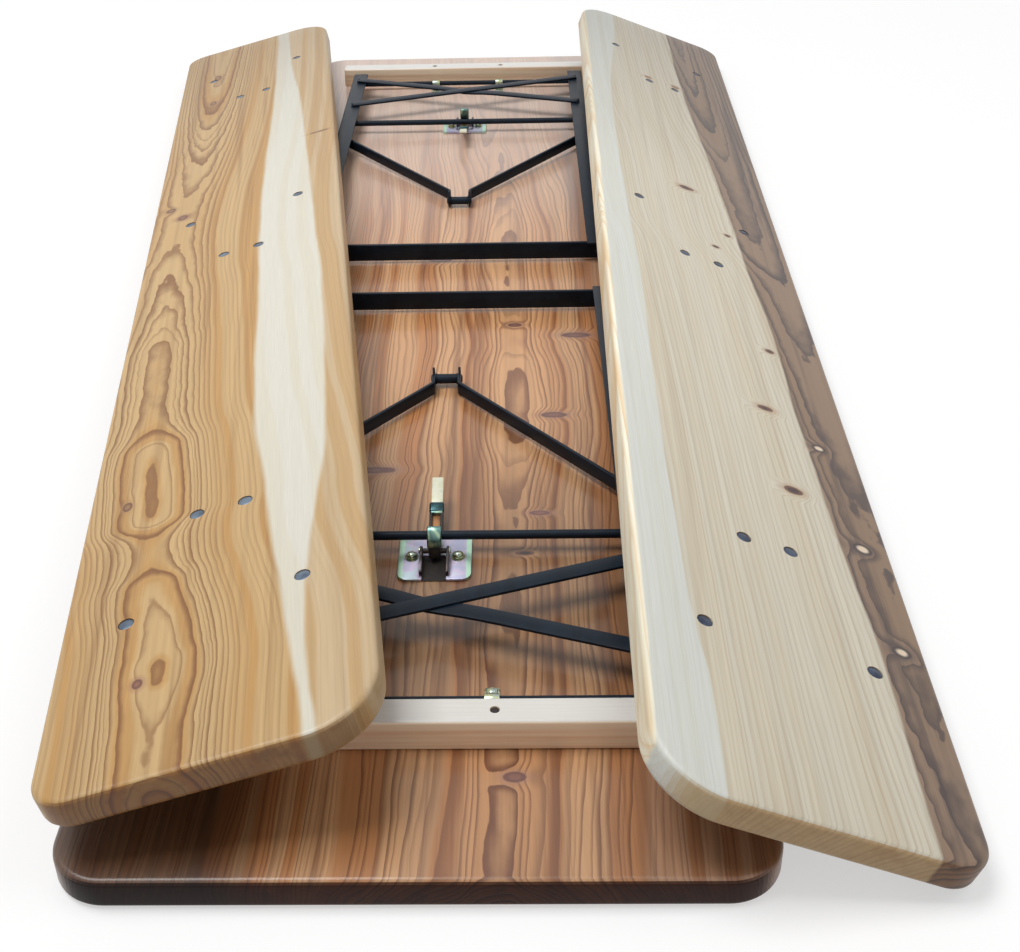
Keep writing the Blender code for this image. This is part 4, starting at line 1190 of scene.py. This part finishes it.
def metal(name, tones, rough, metallic=1.0, border=None):
    """Plated metal that shifts between its tones, and has its own tone along a plate's border."""
    graph = Graph(bpy.data.materials.new(name))
    hue = graph.cloud((55.0, 55.0, 55.0), 2.0, 0.5, 0.5)
    colour = graph.mix(graph.ramp(hue, 0.40, 0.50), tones[0], tones[1])
    colour = graph.mix(graph.ramp(hue, 0.52, 0.62), colour, tones[2])
    if border:
        width, tone = border
        outward = graph.math("ABSOLUTE", graph.apart(graph.note("place"))[0])
        outward = graph.add(outward, graph.swing(hue, BORDER_SWAY))
        colour = graph.mix(graph.ramp(outward, width - BORDER_SOFT, width + BORDER_SOFT), colour, tone)
    grain = graph.cloud((900.0, 900.0, 900.0), 2.0, 0.6)
    return graph.finish(colour, graph.fit(grain, 0.16, rough - 0.08), grain, METAL_RELIEF,
                        Metallic=metallic)


# Metal finishes: three tones, roughness, metallic share, and the place and tone of a border
METALS = dict(
    plate=("zinc_plate_finish", ((0.4, 0.41, 0.55), (0.5, 0.44, 0.57), (0.42, 0.5, 0.55)),
           0.34, 0.9, (0.0305, (0.46, 0.7, 0.54))),
    # The cheeks' zinc is darkened to brown: painted shade.
    cheek=("zinc_cheek_finish",
           ((0.06, 0.048, 0.052), (0.035, 0.026, 0.026), (0.12, 0.1, 0.12)), 0.34, 0.8),
    nut=("zinc_nut_finish", ((0.28, 0.36, 0.26), (0.46, 0.47, 0.28), (0.36, 0.42, 0.38)), 0.28),
    barrel=("zinc_barrel_finish",
            ((0.18, 0.32, 0.28), (0.11, 0.2, 0.19), (0.34, 0.48, 0.34)), 0.3),
    band=("zinc_band_finish",
          ((0.03, 0.075, 0.085), (0.02, 0.05, 0.058), (0.06, 0.12, 0.11)), 0.3, 0.8),
    # Cream on the tongue's upper part: a painted reflection of the pale surroundings on the zinc.
    tongue=("zinc_tongue_finish",
            ((0.7, 0.7, 0.52), (0.76, 0.76, 0.6), (0.64, 0.68, 0.54)), 0.4, 0.2),
    # Orange brown on the tongue up to the notch: a painted reflection of the wood.
    painted_wood_reflection=("zinc_notch_finish",
          ((0.42, 0.19, 0.07), (0.26, 0.11, 0.04), (0.58, 0.32, 0.14)), 0.45, 0.3),
    # Near black painted shade: the floor and lining of the latch's channel, its pin, the lever's foot
    # and side rails, and the sunk screws of the battens.
    pit=("dark_pit_finish",
         ((0.02, 0.013, 0.01), (0.012, 0.009, 0.008), (0.028, 0.018, 0.013)), 0.55, 0.3),
)

# Colours of the battens on top and on their flanks, which are painted light, and in their streaks,
# and the two tones of the bolt heads, paler on the left seat as a painted reflection
TABLE_CLEAT = ((0.76, 0.74, 0.7), (0.98, 0.8, 0.6), (0.86, 0.6, 0.4))
BENCH_CLEAT = ((0.6, 0.45, 0.29), (0.5, 0.34, 0.19), (0.34, 0.2, 0.1))
TABLE_HEADS = ((0.035, 0.045, 0.075), (0.075, 0.095, 0.14))
# The left seat's heads are painted paler: a painted reflection of the pale surroundings on the same
# blued bolts.
LEFT_HEADS_PAINTED_REFLECTION = ((0.085, 0.115, 0.165), (0.17, 0.22, 0.28))
RIGHT_HEADS = ((0.03, 0.04, 0.07), (0.07, 0.09, 0.14))


def head_finish(name, low, high):
    """Blued bolt heads sunk in the seats."""
    middle = tuple((a + b) / 2 for a, b in zip(low, high))
    return metal(name, (low, middle, high), 0.36, 0.7)


def add_piece(name, mesh, finishes, matrix, body, node=None):
    """A piece of the scene that rides on a body and stands for a node.

    Its mesh notes each point's place and each face's direction before the move, for the finishes.
    """
    mesh = mesh.copy()
    mesh.name = name
    for title, domain, source, key in (("place", "POINT", mesh.vertices, "co"),
                                       ("aspect", "FACE", mesh.polygons, "normal")):
        values = [0.0] * (len(source) * 3)
        source.foreach_get(key, values)
        mesh.attributes.new(title, "FLOAT_VECTOR", domain).data.foreach_set("vector", values)
    mesh.transform(matrix)
    for finish in finishes:
        mesh.materials.append(finish)
    piece = placed(name, mesh)
    if node:
        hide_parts(node)
    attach(piece, body)


# Piece of a leg set: how it is made, its slot, its finishes and its body's ending
KIT_PIECES = dict(
    cleat=(cleat_piece, "cleat_wood", ("cleat", "pit"), None),
    hinge_bar=(hinge_piece, "zinc", ("steel", "nut"), None),
    leg_frame=(frame_piece, "coated_steel", ("steel",), "leg"),
    strut=(strut_piece, "coated_steel", ("steel",), "strut"),
    latch_bracket=(bracket_piece, "zinc", ("plate", "pit", "nut", "cheek"), None),
    latch_lever=(lever_piece, "zinc", ("barrel", "pit", "tongue", "painted_wood_reflection", "band"), "latch"),
    bolt_heads=(heads_piece, "zinc", ("head",), None),
)


def add_leg_sets(board, kit, placings, finishes, matrix, board_body):
    """The leg sets of a board on their bodies."""
    meshes = {piece: made[0](kit) for piece, made in KIT_PIECES.items()}
    for name, placing in placings.items():
        prefix = board + "_" + name
        for piece, (_, slot, names, ending) in KIT_PIECES.items():
            body = prefix + "_" + ending if ending else board_body
            node = None if piece == "bolt_heads" else prefix + "_" + piece
            add_piece(prefix + "_" + piece + "_look", meshes[piece],
                      [finishes[key] for key in names], matrix @ placing, body, node)


def build_set():
    """Boards and leg sets."""
    finishes = {key: metal(*made) for key, made in METALS.items()}
    finishes["steel"] = coated_steel("coated_steel_finish")
    finishes["cleat"] = cleat_wood("table_cleat_finish", *TABLE_CLEAT)
    finishes["head"] = head_finish("table_head_finish", *TABLE_HEADS)
    placings = table_sets()
    top = board_mesh("table_board", (TABLE_LENGTH, TABLE_WIDTH, TABLE_THICKNESS),
                     (TABLE_CORNER, TABLE_CORNER), 0.0, TABLE_KIT, placings.values())
    add_piece("table_board_look", top, [wood("table_wood_finish", TABLE_LOOK)],
              Matrix.Identity(4), "root", "table_top")
    add_leg_sets("table", TABLE_KIT, placings, finishes, Matrix.Identity(4), "root")
    finishes["cleat"] = cleat_wood("bench_cleat_finish", *BENCH_CLEAT)
    placings = bench_sets()
    for side, lie, look, corners, heads in (
            ("left", LEFT_LIE, LEFT_LOOK, (BENCH_OUTER_CORNER, BENCH_INNER_CORNER), LEFT_HEADS_PAINTED_REFLECTION),
            ("right", RIGHT_LIE, RIGHT_LOOK, (BENCH_INNER_CORNER, BENCH_OUTER_CORNER), RIGHT_HEADS)):
        body = side + "_bench"
        pose = bench_pose(*lie)
        finishes["head"] = head_finish(side + "_head_finish", *heads)
        seat = board_mesh(side + "_board", (BENCH_LENGTH, BENCH_WIDTH, BENCH_THICKNESS), corners,
                          -BENCH_THICKNESS, BENCH_KIT, placings.values())
        add_piece(side + "_board_look", seat, [wood(side + "_wood_finish", look)], pose, body,
                  side + "_seat")
        add_leg_sets(side, BENCH_KIT, placings, finishes, pose, body)


def seen_plainly(graph):
    """One for camera, glossy and transmission rays, and zero for the rest."""
    kinds = [graph.node("LightPath", {}, "Is " + kind + " Ray")
             for kind in ("Camera", "Glossy", "Transmission")]
    return reduce(partial(graph.math, "MAXIMUM"), kinds)


def add_floor():
    """A plain pale floor that keeps the shadow, and glows more the farther off it is."""
    graph = Graph(bpy.data.materials.new("floor_finish"))
    graph.finish((FLOOR_GREY, FLOOR_GREY, FLOOR_GREY), 0.9)
    outward = graph.length(graph.node("NewGeometry", {}, "Position"))
    level = graph.ramp(outward, FLOOR_NEAR, FLOOR_FAR, FLOOR_GLOW, 1.0)
    glow = graph.node("Emission", {"Color": (1.0, 1.0, 1.0),
                                   "Strength": graph.times(seen_plainly(graph), level)})
    total = graph.node("AddShader", {0: graph.shader.outputs[0], 1: glow})
    graph.put(graph.tree.nodes["Material Output"].inputs["Surface"], total)
    mesh = block(FLOOR_LOW, FLOOR_HIGH)
    mesh.materials.append(graph.data)
    floor = placed("floor", mesh)


def light_scene():
    """Even pale surroundings, and square soft boxes that look at the middle of the set."""
    world = bpy.data.worlds.new("studio")
    bpy.context.scene.world = world
    graph = Graph(world, "Background")
    graph.put(graph.shader.inputs["Color"], (1.0, 1.0, 1.0))
    graph.put(graph.shader.inputs["Strength"],
              graph.ramp(seen_plainly(graph), 0.0, 1.0, SKY_LEVEL, 1.0))
    for name, (place, power) in LAMPS.items():
        light = bpy.data.lights.new(name, "AREA")
        light.shape = "SQUARE"
        light.size = LAMP_SIZE
        light.energy = power
        lamp = placed(name, light)
        lamp.location = place
        lamp.rotation_euler = (-Vector(place)).to_track_quat("-Z", "Y").to_euler()


def add_camera():
    """The photograph's camera."""
    turn = (Matrix.Rotation(-CAMERA_YAW, 4, "Z") @ Matrix.Rotation(math.pi / 2 - CAMERA_PITCH, 4, "X")
            @ Matrix.Rotation(CAMERA_ROLL, 4, "Z"))
    data = bpy.data.cameras.new("camera")
    data.sensor_fit = "HORIZONTAL"
    data.sensor_width = SENSOR
    data.lens = FOCAL_PIXELS * SENSOR / PHOTO_WIDTH
    data.shift_x = (PHOTO_WIDTH / 2 - CENTRE_PIXEL[0]) / PHOTO_WIDTH
    data.shift_y = (CENTRE_PIXEL[1] - PHOTO_HEIGHT / 2) / PHOTO_WIDTH
    camera = placed("camera", data)
    camera.matrix_world = Matrix.Translation(CAMERA_PLACE) @ turn
    bpy.context.scene.camera = camera


bpy.context.scene.view_settings.view_transform = "Standard"
add_camera()
light_scene()
add_floor()
build_set()
bpy.context.view_layer.update()
